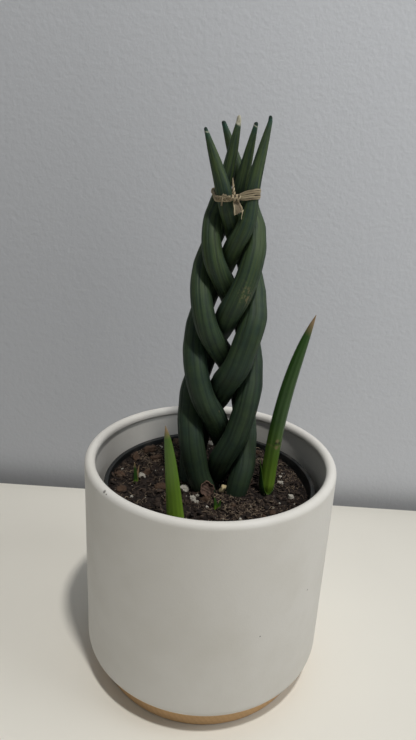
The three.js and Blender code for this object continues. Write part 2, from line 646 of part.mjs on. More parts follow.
// Stems keep a clear ring of soil round them: x, y and radius of what stands in the soil.
function standing() {
  const leaves = LEAVES.map((leaf, turn) => {
    const point = leafPath(turn)(SOIL_LEVEL);
    return [point.x, point.y, leafRadius(leaf, SOIL_LEVEL)];
  });
  const sprouts = SPROUTS.map(({ x, y }) => [x, y, 3.5]);
  return [
    ...leaves,
    ...sprouts,
    [SHOOT_RIGHT.x, SHOOT_RIGHT.y, SHEATH_RADIUS],
    [SHOOT_LEFT.x, SHOOT_LEFT.y, 5],
    [HUSK.x, HUSK.y, HUSK.radius + 1],
  ];
}

function scatteredLumps(draw) {
  const taken = [...standing(), ...NAMED_LUMPS.map(([x, y, size]) => [x, y, size])];
  const lumps = [];
  while (lumps.length < PERLITE_GRAINS + BARK_CHIPS) {
    const kind = lumps.length < PERLITE_GRAINS ? 'perlite' : 'bark';
    const size = kind === 'bark' ? 1.6 + 1.6 * draw() : 0.9 + 0.9 * draw();
    const out = (nurseryInside(SOIL_EDGE) - 2.5 - size) * Math.sqrt(draw());
    const angle = 2 * Math.PI * draw();
    const [x, y] = [out * Math.cos(angle), out * Math.sin(angle)];
    if (kind === 'perlite' && y < BEHIND_BRAID) continue;
    if (taken.every(([tx, ty, tr]) => Math.hypot(x - tx, y - ty) > tr + size + 0.6)) {
      taken.push([x, y, size]);
      lumps.push([x, y, size, kind]);
    }
  }
  return lumps;
}

function soilSolid() {
  const edge = nurseryInside(SOIL_EDGE) - CLEARANCE;
  const top = range(SOIL_RINGS, (i) => [edge * (1 - (i + 1) / (SOIL_RINGS + 1)), SOIL_EDGE]);
  const mass = turned([
    [0, SOIL_BOTTOM],
    [nurseryInside(SOIL_BOTTOM) - CLEARANCE, SOIL_BOTTOM],
    [edge, SOIL_EDGE],
    ...top,
    [0, SOIL_EDGE],
  ], POT_SIDES);
  const position = mass.attributes.position;
  for (let i = 0; i < position.count; i += 1) {
    const [x, y] = [position.getX(i), position.getY(i)];
    const onTop = position.getZ(i) > SOIL_EDGE - 1 && Math.hypot(x, y) < edge - 0.1;
    if (onTop) position.setZ(i, soilHeight(x, y));
  }
  const draw = seededDraw(7);
  const lumps = [...NAMED_LUMPS, ...scatteredLumps(draw)].map((lump) => lumpSolid(lump, draw));
  const sockets = [
    ...LEAVES.map(leafSocket),
    ...SPROUTS.map(sproutSocket),
    shootRightSocket(),
    shootLeftSocket(),
    huskSocket(),
  ];
  return wasm.Manifold.union([solidOf(mass), ...lumps]).subtract(wasm.Manifold.union(sockets));
}

// ---------------------------------------------------------------- the assembly

const FINISHES = {
  wood: { color: 0xd9b984, roughness: 0.6, metalness: 0 },
  ceramic: { color: 0xe9e7e2, roughness: 0.45, metalness: 0 },
  black_plastic: { color: 0x17181b, roughness: 0.5, metalness: 0 },
  soil: { color: 0x3a2a20, roughness: 0.95, metalness: 0 },
  leaf: { color: 0x24402f, roughness: 0.45, metalness: 0 },
  young_leaf: { color: 0x4e8a2e, roughness: 0.45, metalness: 0 },
  raffia: { color: 0xc3a878, roughness: 0.8, metalness: 0 },
  dry_husk: { color: 0x6d4a2f, roughness: 0.9, metalness: 0 },
};

const materials = Object.fromEntries(
  Object.entries(FINISHES).map(([name, finish]) => [name, new THREE.MeshStandardMaterial({ name, ...finish })]),
);

const plant = new THREE.Group();

function place(name, solid, finish) {
  const mesh = new THREE.Mesh(geometryOf(solid), materials[finish]);
  mesh.name = name;
  plant.add(mesh);
}

place('wood_base', baseSolid(), 'wood');
place('pot', potSolid(), 'ceramic');
place('nursery_pot', nurserySolid(), 'black_plastic');
place('soil', soilSolid(), 'soil');
LEAVES.forEach((leaf, turn) => place(leaf.name, leafSolid(leaf, turn), 'leaf'));
place('tie', tieSolid(), 'raffia');
place('shoot_right', shootRightSolid(), 'young_leaf');
place('shoot_left', shootLeftSolid(), 'young_leaf');
SPROUTS.forEach((sprout) => {
  const [first, second] = sprout.blades.map((blade) => bladeSolid(sprout, blade));
  place(sprout.name, first.add(second), 'young_leaf');
});
place('husk', huskSolid(), 'dry_husk');

export default plant;
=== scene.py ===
"""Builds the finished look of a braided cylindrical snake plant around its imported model.

Five round, grooved leaves are plaited and tied with raffia, and stand with four young shoots in potting mix, in a
thin nursery pot inside a white pot on a wooden base. Every shape is a surface of two parameters, worked out with
numpy in millimetres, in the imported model's own frame, and put into its mesh in metres.
"""

import math

import bpy
import numpy as np
from mathutils import Matrix, Vector


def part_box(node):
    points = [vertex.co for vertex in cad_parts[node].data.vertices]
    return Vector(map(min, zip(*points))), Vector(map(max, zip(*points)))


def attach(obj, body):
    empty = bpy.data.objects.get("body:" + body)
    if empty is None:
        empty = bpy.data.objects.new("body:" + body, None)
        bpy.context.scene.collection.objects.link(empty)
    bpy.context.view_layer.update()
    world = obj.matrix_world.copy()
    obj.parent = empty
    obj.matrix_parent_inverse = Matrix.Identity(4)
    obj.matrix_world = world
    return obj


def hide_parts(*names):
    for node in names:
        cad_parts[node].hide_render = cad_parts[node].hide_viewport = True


bl_info = {
    "name": "Braided Snake Plant",
    "version": (1, 0, 0),
    "blender": (4, 5, 0),
    "location": "View3D > Sidebar > Snake Plant",
    "description": "Makes a braided cylindrical snake plant in its pot, piece by piece",
    "category": "Add Mesh",
}

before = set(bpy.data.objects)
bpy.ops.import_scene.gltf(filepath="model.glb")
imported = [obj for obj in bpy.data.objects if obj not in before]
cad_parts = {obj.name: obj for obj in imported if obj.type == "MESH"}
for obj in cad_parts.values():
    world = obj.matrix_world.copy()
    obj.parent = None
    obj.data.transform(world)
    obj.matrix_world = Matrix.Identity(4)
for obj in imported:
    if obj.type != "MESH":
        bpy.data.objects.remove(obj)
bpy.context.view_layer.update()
MM = 0.001
TURN = 2 * math.pi


def node_box(name):
    """Lowest and highest corner of a node, in millimetres."""
    low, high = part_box(name)
    return np.array(low) / MM, np.array(high) / MM


POT_LOW, POT_HIGH = node_box("pot")
BASE_LOW, BASE_HIGH = node_box("wood_base")
NURSERY_LOW, NURSERY_HIGH = node_box("nursery_pot")

# ---------------------------------------------------------------- sizes, in millimetres

CLEARANCE = 0.3
POT_INSIDE = 73
POT_FLOOR = 20.5
NURSERY_FOOT = 52
NURSERY_WALL = 1.2
NURSERY_FLOOR = 1.5
RIM_FOOT = NURSERY_HIGH[2] - 3.4
RIM_STEP = 1.6
ROUND_SIDES = 224
SOIL_EDGE = 126.6
SOIL_MOUND = 3
SOIL_LEVEL = 128

FOOT_Z = 100
NECK_Z = 150
# Between these heights the leaves come from their feet's own places into the plait.
FOOT_TOP = (130, 166)
# The braid's middle in x at the soil, its lean, and its half width: the least at the top, and the swell below.
AXIS_X = 2.91
AXIS_LEAN = 0.009
TOP_WIDTH = 12.52
SWELL = 10.95
WIDEST_Z = 181.8
SWELL_LENGTH = 140
# A leaf's radius: at its tip, what it gains below, how the gain sets in, and what the neck takes off again.
TIP_RADIUS = 0.878
FULL_RADIUS = 6.776
TAPER_POWER = 0.861
SLIM_LENGTH = 6
NECK_SHARE = 0.24
TIE_Z = 303.5
BRAID_DEPTH = 38.6
TIE_DEPTH = 27
FOOT_ROOM = 0.88
GATHER_LENGTH = 18.2
# The levels at which the leaves settle, and how they push each other apart there.
LEVEL_STEP = 3
LEVEL_COUNT = 82
REACH = 6
PASSES = 500
LEAF_GAP = 0.485
SIDE_SLACK = 1.17
DEPTH_FIRST = 0.66
# The steps of the plait, which grow longer downwards, and how the leaves lag and lean at the left side.
STEP_START = 283.66
STEP_LENGTH = 16.885
STEP_GROWTH = 0.8136
LEFT_DELAY = 23.5
DELAY_Z = (150.9, 322.7)
LEFT_PULL = 1.3
PULL_Z = (262, 284)
FLATTEN_Z = 262
WEAVE_DEPTH = 1.58

# The five leaves, each with its plumpness, the length over which it tapers to its tip, how many degrees it is ahead
# of its turn in the plait, where it passes the tie as x and y from the braid's axis, its tip, how far its foot stands
# out of line, in x and y, and how much slimmer its very tip is, as a share.
LEAVES = (
    (1.023, 52.7, 3.8, (5.02, 8.2), (-3.56, 10, 340), (1.2, 4), 0.14),
    (1.163, 66.5, -3.1, (-5.69, -7), (-12.39, -8, 335.3), (0, 0), 0.46),
    (0.991, 61.6, -0.4, (-4.2, 4), (5, 3, 342.5), (3.8, -4.8), 0),
    (0.988, 64.6, -3.4, (1.07, -0.3), (13.53, 0, 339.5), (0, -10), 0.16),
    (1.034, 74.3, -3, (7.27, -7), (20.95, -4, 342.5), (2, 3), 0.32),
)
PLUMPNESS, TAPER, LEAD, TIED, TIPS, FEET, SLIM = (np.array(column, float) for column in zip(*LEAVES))

# ---------------------------------------------------------------- small tools


def mix(a, b, share):
    return a + (b - a) * share


def smoothstep(x, low, high):
    t = np.clip((x - low) / (high - low), 0, 1)
    return t * t * (3 - 2 * t)


def angles(count):
    """Evenly spaced angles once round, the last one short of the first."""
    return np.arange(count) / count * TURN


def unit(vectors):
    return vectors / (np.linalg.norm(vectors, axis=-1, keepdims=True) + 1e-12)


def bell(x, width):
    return np.exp(-((x / width) ** 2))


def wrapped(angle):
    """The same direction as an angle from -pi to pi."""
    return (angle + math.pi) % TURN - math.pi


def ring_points(radius, angle, height):
    """Points at x = radius cos a, y = radius sin a, z = height."""
    return np.stack(np.broadcast_arrays(radius * np.cos(angle), radius * np.sin(angle), height), -1)


def reach_along(path):
    """The distance from a path's start to each of its points, along it."""
    return np.concatenate([[0], np.cumsum(np.linalg.norm(np.diff(path, axis=0), axis=1))])


def value_noise(x, y, z, seed):
    """Smooth noise from -1 to 1: a hashed value at each whole-number point, blended by smoothstep in between."""
    place = np.stack(np.broadcast_arrays(x, y, z)).astype(float)
    cell = np.floor(place).astype(np.int64)
    part = place - cell
    part = part * part * (3 - 2 * part)
    total = 0.0
    for corner in np.ndindex(2, 2, 2):
        i, j, k = (cell[axis] + corner[axis] for axis in range(3))
        hashed = i * 374761393 + j * 668265263 + k * 1274126177 + seed * 144665
        hashed = (hashed ^ (hashed >> 13)) * 1103515245
        hashed = (hashed ^ (hashed >> 16)) & 0xFFFF
        weight = 1.0
        for axis in range(3):
            weight = weight * (part[axis] if corner[axis] else 1 - part[axis])
        total = total + weight * hashed
    return total / 32767.5 - 1


def noise_round(angle, pace, z, seed):
    """Smooth noise round a ring, on a circle of radius pace, that changes with z."""
    return value_noise(pace * np.cos(angle), pace * np.sin(angle), z, seed)


def rough_noise(x, y, z, size, octaves, seed):
    """Noise with grains of that size in millimetres, then half as large and half as strong, and so on."""
    return sum(
        value_noise(x * 2**k / size, y * 2**k / size, z * 2**k / size, seed + k) / 2**k
        for k in range(octaves)
    )


def seeded_draw(seed):
    """A repeatable draw between 0 and 1."""
    state = seed
    while True:
        state = (state * 1664525 + 1013904223) % 4294967296
        yield state / 4294967296


def grid_faces(rows, columns, ring_of_rows=False, start_pole=False, end_pole=False):
    """Quads over a grid of points numbered row by row, where each row is a closed ring. The last row joins the
    first one if ring_of_rows is set. A pole is one more point, after the grid, that closes an end with triangles."""
    row = np.arange(rows if ring_of_rows else rows - 1)[:, None] * columns
    above = (row + columns) % (rows * columns)
    column = np.arange(columns)[None, :]
    beside = (column + 1) % columns
    quads = np.stack([row + column, row + beside, above + beside, above + column], -1).reshape(-1, 4)
    triangles, pole = [], rows * columns
    if start_pole:
        triangles.append(np.stack([np.full(columns, pole), beside[0], column[0]], -1))
        pole += 1
    if end_pole:
        last = (rows - 1) * columns
        triangles.append(np.stack([np.full(columns, pole), last + column[0], last + beside[0]], -1))
    return quads, np.concatenate(triangles) if triangles else np.zeros((0, 3), int)


def make_piece(name, points, quads, triangles=None, masks=None):
    """A smooth mesh object of that name, from points in millimetres. masks holds a value or a vector a point."""
    triangles = np.zeros((0, 3), int) if triangles is None else triangles
    mesh = bpy.data.meshes.new(name)
    corners = np.concatenate([quads.ravel(), triangles.ravel()]).astype(np.int32)
    sizes = np.concatenate([np.full(len(quads), 4), np.full(len(triangles), 3)]).astype(np.int32)
    mesh.vertices.add(len(points))
    mesh.vertices.foreach_set("co", (points * MM).astype(np.float32).ravel())
    mesh.loops.add(len(corners))
    mesh.loops.foreach_set("vertex_index", corners)
    mesh.polygons.add(len(sizes))
    mesh.polygons.foreach_set("loop_start", np.concatenate([[0], np.cumsum(sizes)[:-1]]).astype(np.int32))
    mesh.polygons.foreach_set("use_smooth", np.ones(len(sizes), bool))
    mesh.update(calc_edges=True)
    for label, values in (masks or {}).items():
        values = np.asarray(values, np.float32)
        is_vector = values.ndim == 2
        layer = mesh.attributes.new(label, "FLOAT_VECTOR" if is_vector else "FLOAT", "POINT")
        layer.data.foreach_set("vector" if is_vector else "value", values.ravel())
    mesh.validate()
    piece = bpy.data.objects.new(name, mesh)
    bpy.context.scene.collection.objects.link(piece)
    return piece


def add_piece(name, shape, material, slot, *nodes, masks=None):
    """Makes a piece with its material, and lets it stand for the nodes. The slot is not used."""
    piece = make_piece(name, *shape, masks=masks)
    piece.data.materials.append(material)
    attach(piece, "root")
    if nodes:
        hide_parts(*nodes)


def turned(profile, sides, wobble=None):
    """A profile of (radius, height) pairs turned about the Z axis, from the lower pole round the outside to the
    last pole. Its first and last pairs are the poles, on the axis."""
    profile = np.array(profile, float)
    angle = angles(sides)
    radius, height = profile[1:-1, 0][:, None], profile[1:-1, 1][:, None]
    if wobble is not None:
        radius = radius + wobble(radius, angle, height)
    ring = ring_points(radius, angle, height)
    poles = np.array([[0, 0, profile[0, 1]], [0, 0, profile[-1, 1]]])
    faces = grid_faces(len(profile) - 2, sides, start_pole=True, end_pole=True)
    return np.concatenate([ring.reshape(-1, 3), poles]), *faces


def carried(path, sections, along):
    """Sections carried along a path. sections holds, for each point of the path, offsets sideways and in depth.
    Sideways is the X direction made square to the path, and depth is square to both."""
    along = unit(along)
    sideways = unit([1.0, 0, 0] - along * along[..., :1])
    inwards = np.cross(along, sideways)
    return path[:, None] + sections[..., :1] * sideways[:, None] + sections[..., 1:] * inwards[:, None]


def round_sections(radii, sides, depth=1.0):
    """Round or oval sections: radius times (cos a, depth sin a), for radii of one row a section."""
    angle = angles(sides)
    return np.stack([radii * np.cos(angle), radii * depth * np.sin(angle)], -1)


def capped(points):
    """A carried surface of rows of rings, with a pole at the middle of each end ring."""
    rows, columns = points.shape[:2]
    flat = np.concatenate([points.reshape(-1, 3), points[:1].mean(1), points[-1:].mean(1)])
    return flat, *grid_faces(rows, columns, start_pole=True, end_pole=True)


def with_poles(grid):
    """Values on a grid of rows, with the mean of each end row added for the poles."""
    grid = np.asarray(grid, float)
    flat = grid.reshape(-1, *grid.shape[2:])
    return np.concatenate([flat, grid[:1].mean(1), grid[-1:].mean(1)])


def joined(parts):
    """Several (points, quads, triangles) as one."""
    starts = np.cumsum([0] + [len(part[0]) for part in parts[:-1]])
    points = np.concatenate([part[0] for part in parts])
    quads = np.concatenate([part[1] + start for part, start in zip(parts, starts)])
    triangles = np.concatenate([part[2] + start for part, start in zip(parts, starts)])
    return points, quads, triangles


def copies(points, faces, count):
    """Numbers the faces of that many copies of one shape with as many points."""
    starts = np.arange(count) * points
    return (faces[None] + starts[:, None, None]).reshape(-1, faces.shape[1])


def random_turns(count, rng, tilt=1.0):
    """Rotation matrices: a turn about Z, then a tilt of up to that many radians about X and Y."""
    a, b, c = rng.uniform(-0.5, 0.5, (3, count)) * np.array([[TURN], [2 * tilt], [2 * tilt]])
    zero, one = np.zeros(count), np.ones(count)

    def rows(*values):
        return np.stack(values, -1).reshape(count, 3, 3)

    about_z = rows(np.cos(a), -np.sin(a), zero, np.sin(a), np.cos(a), zero, zero, zero, one)
    about_x = rows(one, zero, zero, zero, np.cos(b), -np.sin(b), zero, np.sin(b), np.cos(b))
    about_y = rows(np.cos(c), zero, np.sin(c), zero, one, zero, -np.sin(c), zero, np.cos(c))
    return about_y @ about_x @ about_z


# ---------------------------------------------------------------- node tools


def add_node(tree, kind, values=None, **settings):
    """Adds a node, sets its options, then sets or links its inputs by name or number."""
    node = tree.nodes.new(kind)
    for key, value in settings.items():
        setattr(node, key, value)
    for key, value in (values or {}).items():
        if isinstance(value, bpy.types.NodeSocket):
            tree.links.new(value, node.inputs[key])
        else:
            node.inputs[key].default_value = value
    return node


def math_node(tree, operation, a, b=0.0, clamp=False):
    node = add_node(tree, "ShaderNodeMath", {0: a, 1: b}, operation=operation, use_clamp=clamp)
    return node.outputs[0]


def times(tree, a, b):
    return math_node(tree, "MULTIPLY", a, b)


def plus(tree, a, b):
    return math_node(tree, "ADD", a, b)


def remap(tree, value, low, high, to_low=0.0, to_high=1.0):
    sockets = {"Value": value, "From Min": low, "From Max": high, "To Min": to_low, "To Max": to_high}
    return add_node(tree, "ShaderNodeMapRange", sockets).outputs["Result"]


def blend(tree, share, first, second):
    """Mixes two colours by a share."""
    node = add_node(tree, "ShaderNodeMix", {"Factor": share}, data_type="RGBA")
    for socket, value in ((node.inputs[6], first), (node.inputs[7], second)):
        if isinstance(value, bpy.types.NodeSocket):
            tree.links.new(value, socket)
        else:
            socket.default_value = (*value, 1.0)
    return node.outputs[2]


def darker(colour, share):
    return tuple(share * c for c in colour)


def tinted(tree, colour, mask, share, tint):
    """The colour mixed towards a tint, by that share of the mask."""
    return blend(tree, times(tree, mask, share), colour, tint)


def attribute(tree, name, kind="Fac"):
    return add_node(tree, "ShaderNodeAttribute", attribute_name=name).outputs[kind]


def place_of(tree):
    return add_node(tree, "ShaderNodeTexCoord").outputs["Object"]


def shader_group(name, inputs, outputs, fill):
    """A shader node group, built once. inputs and outputs give each socket's name and kind, an input its default."""
    if name in bpy.data.node_groups:
        return bpy.data.node_groups[name]
    tree = bpy.data.node_groups.new(name, "ShaderNodeTree")
    for label, kind, default in inputs:
        socket = tree.interface.new_socket(label, in_out="INPUT", socket_type=kind)
        if default is not None:
            socket.default_value = default
    for label, kind in outputs:
        tree.interface.new_socket(label, in_out="OUTPUT", socket_type=kind)
    entry, exit_node = tree.nodes.new("NodeGroupInput"), tree.nodes.new("NodeGroupOutput")
    for label, socket in fill(tree, entry.outputs).items():
        tree.links.new(socket, exit_node.inputs[label])
    return tree


def use_group(tree, group, values):
    return add_node(tree, "ShaderNodeGroup", values, node_tree=group).outputs


NUMBER, ARROW = "NodeSocketFloat", "NodeSocketVector"


def blotches_group():
    """Soft blotches: noise stretched between a low and a high threshold."""

    def fill(tree, entry):
        noise = add_node(tree, "ShaderNodeTexNoise", {
            "Vector": entry["Vector"], "Scale": entry["Scale"], "Detail": entry["Detail"], "Roughness": 0.6,
        }).outputs["Fac"]
        return {"Mask": remap(tree, noise, entry["Low"], entry["High"]), "Height": noise}

    inputs = [("Vector", ARROW, None), ("Scale", NUMBER, 100.0), ("Detail", NUMBER, 3.0), ("Low", NUMBER, 0.35),
              ("High", NUMBER, 0.65)]
    return shader_group("Soft Blotches", inputs, [("Mask", NUMBER), ("Height", NUMBER)], fill)


def streaks_group():
    """Streaks along the third axis: noise on a place that is squeezed along it."""

    def fill(tree, entry):
        squeeze = add_node(tree, "ShaderNodeCombineXYZ", {0: entry["Across"], 1: entry["Across"], 2: entry["Along"]})
        place = add_node(tree, "ShaderNodeVectorMath", {0: entry["Vector"], 1: squeeze.outputs[0]},
                         operation="MULTIPLY")
        noise = add_node(tree, "ShaderNodeTexNoise", {
            "Vector": place.outputs[0], "Scale": 1.0, "Detail": 4.0, "Roughness": 0.65,
        }).outputs["Fac"]
        return {"Mask": remap(tree, noise, entry["Low"], entry["High"]), "Height": noise}

    inputs = [("Vector", ARROW, None), ("Across", NUMBER, 600.0), ("Along", NUMBER, 20.0), ("Low", NUMBER, 0.35),
              ("High", NUMBER, 0.65)]
    return shader_group("Long Streaks", inputs, [("Mask", NUMBER), ("Height", NUMBER)], fill)


def specks_group():
    """Small round specks: a share of the cells of a Voronoi pattern have a dot at their point."""

    def fill(tree, entry):
        cells = add_node(tree, "ShaderNodeTexVoronoi", {"Vector": entry["Vector"], "Scale": entry["Scale"]})
        dot = remap(tree, cells.outputs["Distance"], entry["Size"], times(tree, entry["Size"], 0.5))
        chosen = math_node(tree, "LESS_THAN", add_node(tree, "ShaderNodeSeparateColor", {
            "Color": cells.outputs["Color"]}).outputs[0], entry["Share"])
        return {"Mask": times(tree, dot, chosen)}

    inputs = [("Vector", ARROW, None), ("Scale", NUMBER, 100.0), ("Size", NUMBER, 0.2), ("Share", NUMBER, 0.1)]
    return shader_group("Specks", inputs, [("Mask", NUMBER)], fill)


def blotches(tree, vector, scale, low=0.35, high=0.65, detail=3.0):
    values = {"Vector": vector, "Scale": scale, "Detail": detail, "Low": low, "High": high}
    return use_group(tree, blotches_group(), values)


def streaks(tree, vector, across, along, low=0.35, high=0.65):
    values = {"Vector": vector, "Across": across, "Along": along, "Low": low, "High": high}
    return use_group(tree, streaks_group(), values)


def specks(tree, vector, scale, size, share):
    return use_group(tree, specks_group(), {"Vector": vector, "Scale": scale, "Size": size, "Share": share})


def spot_group():
    """One soft spot round a place: full at the place and gone at its size."""

    def fill(tree, entry):
        far = add_node(tree, "ShaderNodeVectorMath", {0: entry["Vector"], 1: entry["Place"]}, operation="DISTANCE")
        half = times(tree, entry["Size"], 0.5)
        return {"Mask": remap(tree, far.outputs["Value"], entry["Size"], half)}

    inputs = [("Vector", ARROW, None), ("Place", ARROW, None), ("Size", NUMBER, 0.001)]
    return shader_group("Spot", inputs, [("Mask", NUMBER)], fill)


def finish_material(material, colour, roughness, height, distance, strength=1.0, **sockets):
    """Connects a material's shader and bump, and sets the shader's plain values. It returns the material."""
    tree = material.node_tree
    shader = tree.nodes["Principled BSDF"]
    for label, value in (("Base Color", colour), ("Roughness", roughness)):
        if isinstance(value, bpy.types.NodeSocket):
            tree.links.new(value, shader.inputs[label])
        else:
            shader.inputs[label].default_value = value
    bump = add_node(tree, "ShaderNodeBump", {"Height": height, "Distance": distance, "Strength": strength})
    tree.links.new(bump.outputs["Normal"], shader.inputs["Normal"])
    for label, value in sockets.items():
        shader.inputs[label.replace("_", " ")].default_value = value
    return material


def new_material(name):
    """A material and its node tree. There are other materials too, so none is looked up by its name."""
    material = bpy.data.materials.new(name)
    material.use_nodes = True
    return material, material.node_tree


# ---------------------------------------------------------------- settings


def tone(name, description, code):
    """A colour property, from a code of two hexadecimal digits each for red, green and blue."""
    levels = [(code >> shift & 255) / 255 for shift in (16, 8, 0)]
    linear = tuple(v / 12.92 if v <= 0.04045 else ((v + 0.055) / 1.055) ** 2.4 for v in levels)
    return bpy.props.FloatVectorProperty(name=name, description=description, subtype="COLOR", size=3, min=0, max=1,
                                         default=linear)


def length(name, description, millimetres):
    return bpy.props.FloatProperty(name=name, description=description, default=millimetres * MM, min=0,
                                   subtype="DISTANCE", unit="LENGTH", precision=5)


def number(name, description, value):
    return bpy.props.FloatProperty(name=name, description=description, default=value, min=0)


def count_of(name, description, value):
    return bpy.props.IntProperty(name=name, description=description, default=value, min=0)


class PotSettings(bpy.types.PropertyGroup):
    """The white pot, its wooden base and the nursery pot inside."""

    radius: length("Pot radius", "Outer radius of the white pot", POT_HIGH[0])
    lip: length("Lip", "Radius of the lip's half round", 3.2)
    bead: length("Bead", "How far the thicker rim reaches down the inner wall", 5)
    corner: length("Corner", "Rounding of the pot's lower edge", 7)
    base_radius: length("Base radius", "Radius of the wooden base", BASE_HIGH[0])
    glaze: tone("Glaze", "Matte white of the pot", 0xD9D6D0)
    stain: tone("Stain", "Faint grey in the glaze", 0xCDC9C0)
    wood_light: tone("Light wood", "Pale bands of the wood", 0xE0B786)
    wood_dark: tone("Dark wood", "Grain lines of the wood", 0xB58B5C)
    plastic: tone("Plastic", "Black of the nursery pot", 0x16191A)


class SoilSettings(bpy.types.PropertyGroup):
    """The potting mix and what lies on it."""

    crumbs: count_of("Crumbs", "Number of crumbs on the surface", 2600)
    fibres: count_of("Fibres", "Number of fibres on the surface", 340)
    relief: length("Relief", "Height of the lumps in the surface", 1.3)
    # The dark soil colour is the colour of the fine dark grains, and also the painted shade in the hollows between
    # crumbs.
    dark: tone("Dark soil", "Damp hollows of the mix", 0x17110F)
    light: tone("Light soil", "Dry crumbs of the mix", 0x52443A)
    bark: tone("Bark", "Brown of the bark chips", 0x5E493A)
    fibre: tone("Fibre", "Pale brown of the fibres", 0x8E7F6B)
    perlite: tone("Perlite", "White of the perlite grains", 0xB4AFA4)
    cream: tone("Cream", "Cream of one large grain", 0xCDBB8C)


class LeafSettings(bpy.types.PropertyGroup):
    """The five plaited leaves."""

    groove: number("Groove depth", "Depth of a groove as a share of the leaf's radius", 0.032)
    grooves: count_of("Grooves", "Number of grooves round a leaf", 11)
    deep: tone("Deep green", "Bluish green of the older parts", 0x283B31)
    fresh: tone("Fresh green", "Yellower green of the upper parts", 0x4A5B30)
    # The furrow colour darkens the fine streaks and the leaf's very end, and is also the painted shade in the
    # grooves.
    furrow: tone("Furrow", "Dark line in a groove", 0x141C17)
    tip: tone("Tip", "Teal of the tips", 0x214239)
    dry: tone("Dry", "Dry brown of scars and dead ends", 0x9A8866)
    scar: tone("Scar", "Pale rings and patches near the tips", 0xC9C6B2)


class ShootSettings(bpy.types.PropertyGroup):
    """The four young shoots and the husk."""

    green: tone("Green", "Main green of the young leaves", 0x2D4D19)
    base: tone("Base", "Yellow green near the soil", 0x72922B)
    # The shade colour is used for streaks and cross bands, and as painted shade in the grooves and over the sheath.
    shade: tone("Shade", "Darker green of bands and edges", 0x1F3A18)
    bristle: tone("Bristle", "Dry brown of the thin tips", 0x8A7355)
    husk: tone("Husk", "Brown of the dry husk", 0x3D3029)
    rim: tone("Husk rim", "Pinkish tan of the husk's rim", 0x84685A)


class TieSettings(bpy.types.PropertyGroup):
    """The raffia tie."""

    strand: length("Strand", "Half width of one strand of raffia", 0.54)
    thickness: length("Thickness", "Thickness of a strand", 0.45)
    light: tone("Light raffia", "Pale straw of the raffia", 0xE0D2B0)
    dark: tone("Dark raffia", "Brown fibres in the raffia", 0x87735A)
    shadow: tone("Raffia lines", "Dark lines between the ribs", 0x33281D)


class StageSettings(bpy.types.PropertyGroup):
    """The table, the wall and the light."""

    wall: tone("Wall", "Grey of the wall", 0xC5C7CC)
    table: tone("Table", "Cream of the table", 0xEAE6DC)
    wall_distance: length("Wall distance", "How far the wall stands behind the pot's axis", 184)
    lamp: number("Lamp", "Power of the ceiling lamp, in watts", 22.0)
    fill: number("Fill", "Power of the soft light at the right, in watts", 2.9)
    ambient: number("Ambient", "Strength of the even light from all sides", 0.145)


# ---------------------------------------------------------------- the braid


def axis_x(z):
    return AXIS_X + (z - SOIL_LEVEL) * AXIS_LEAN


def half_width(z):
    return TOP_WIDTH + SWELL * (1 - ((z - WIDEST_Z) / SWELL_LENGTH) ** 2)


def near_foot(z):
    return 1 - smoothstep(z, *FOOT_TOP)


def leaf_radius(turn, z):
    """Slim at the tip, near full within 100 mm, and narrower again from NECK_Z down to the foot."""
    from_tip = np.maximum(TIPS[turn, 2] - z, 0)
    neck = np.clip((NECK_Z - z) / (NECK_Z - FOOT_Z), 0, 1)
    full = TIP_RADIUS + FULL_RADIUS * (1 - np.exp(-from_tip / TAPER[turn])) ** TAPER_POWER
    slim = 1 - SLIM[turn] * np.exp(-from_tip / SLIM_LENGTH)
    return full * slim * PLUMPNESS[turn] * (1 - NECK_SHARE * neck)


def planned_point(turn, z):
    """Where a leaf would run without thickness. The leaves swap places in steps of 36 degrees round a flat eight,
    x = w cos a and y = d (sin 2a + 0.2 sin 6a), then gather at the tie and run straight to their tips."""
    height = np.clip(z, SOIL_LEVEL - 6, TIE_Z)
    root = np.sqrt(STEP_LENGTH**2 + 4 * STEP_GROWTH * (STEP_START - height))
    even = np.radians(72 * turn + LEAD[turn] - 36 * (root - STEP_LENGTH) / (2 * STEP_GROWTH))
    delay = np.radians(LEFT_DELAY * smoothstep(height, *DELAY_Z))
    angle = even + delay * (0.5 - 0.5 * np.cos(even))
    radius = leaf_radius(turn, height)
    pull = LEFT_PULL * smoothstep(-np.cos(angle), 0, 0.8) * smoothstep(height, *PULL_Z)
    plait = np.stack([
        (half_width(height) - radius) * np.cos(angle) + pull,
        WEAVE_DEPTH * radius * (np.sin(2 * angle) + 0.2 * np.sin(6 * angle)),
    ], -1) + FEET[turn] * near_foot(height)[:, None]
    gathered = smoothstep(height, TIE_Z - GATHER_LENGTH, TIE_Z)[:, None]
    free = np.maximum((z - TIE_Z) / (TIPS[turn, 2] - TIE_Z), 0)[:, None]
    tip = TIPS[turn, :2] - [axis_x(TIPS[turn, 2]), 0]
    return mix(mix(plait, TIED[turn], gathered), tip, free)


def smoothed(lists, weight):
    """One pass of a 1-2-1 filter along the second axis, with fixed ends."""
    result = lists.copy()
    result[:, 1:-1] += weight * (0.5 * (lists[:, :-2] + lists[:, 2:]) - lists[:, 1:-1])
    return result


def beyond(value, limit):
    return value - np.clip(value, -limit, limit)


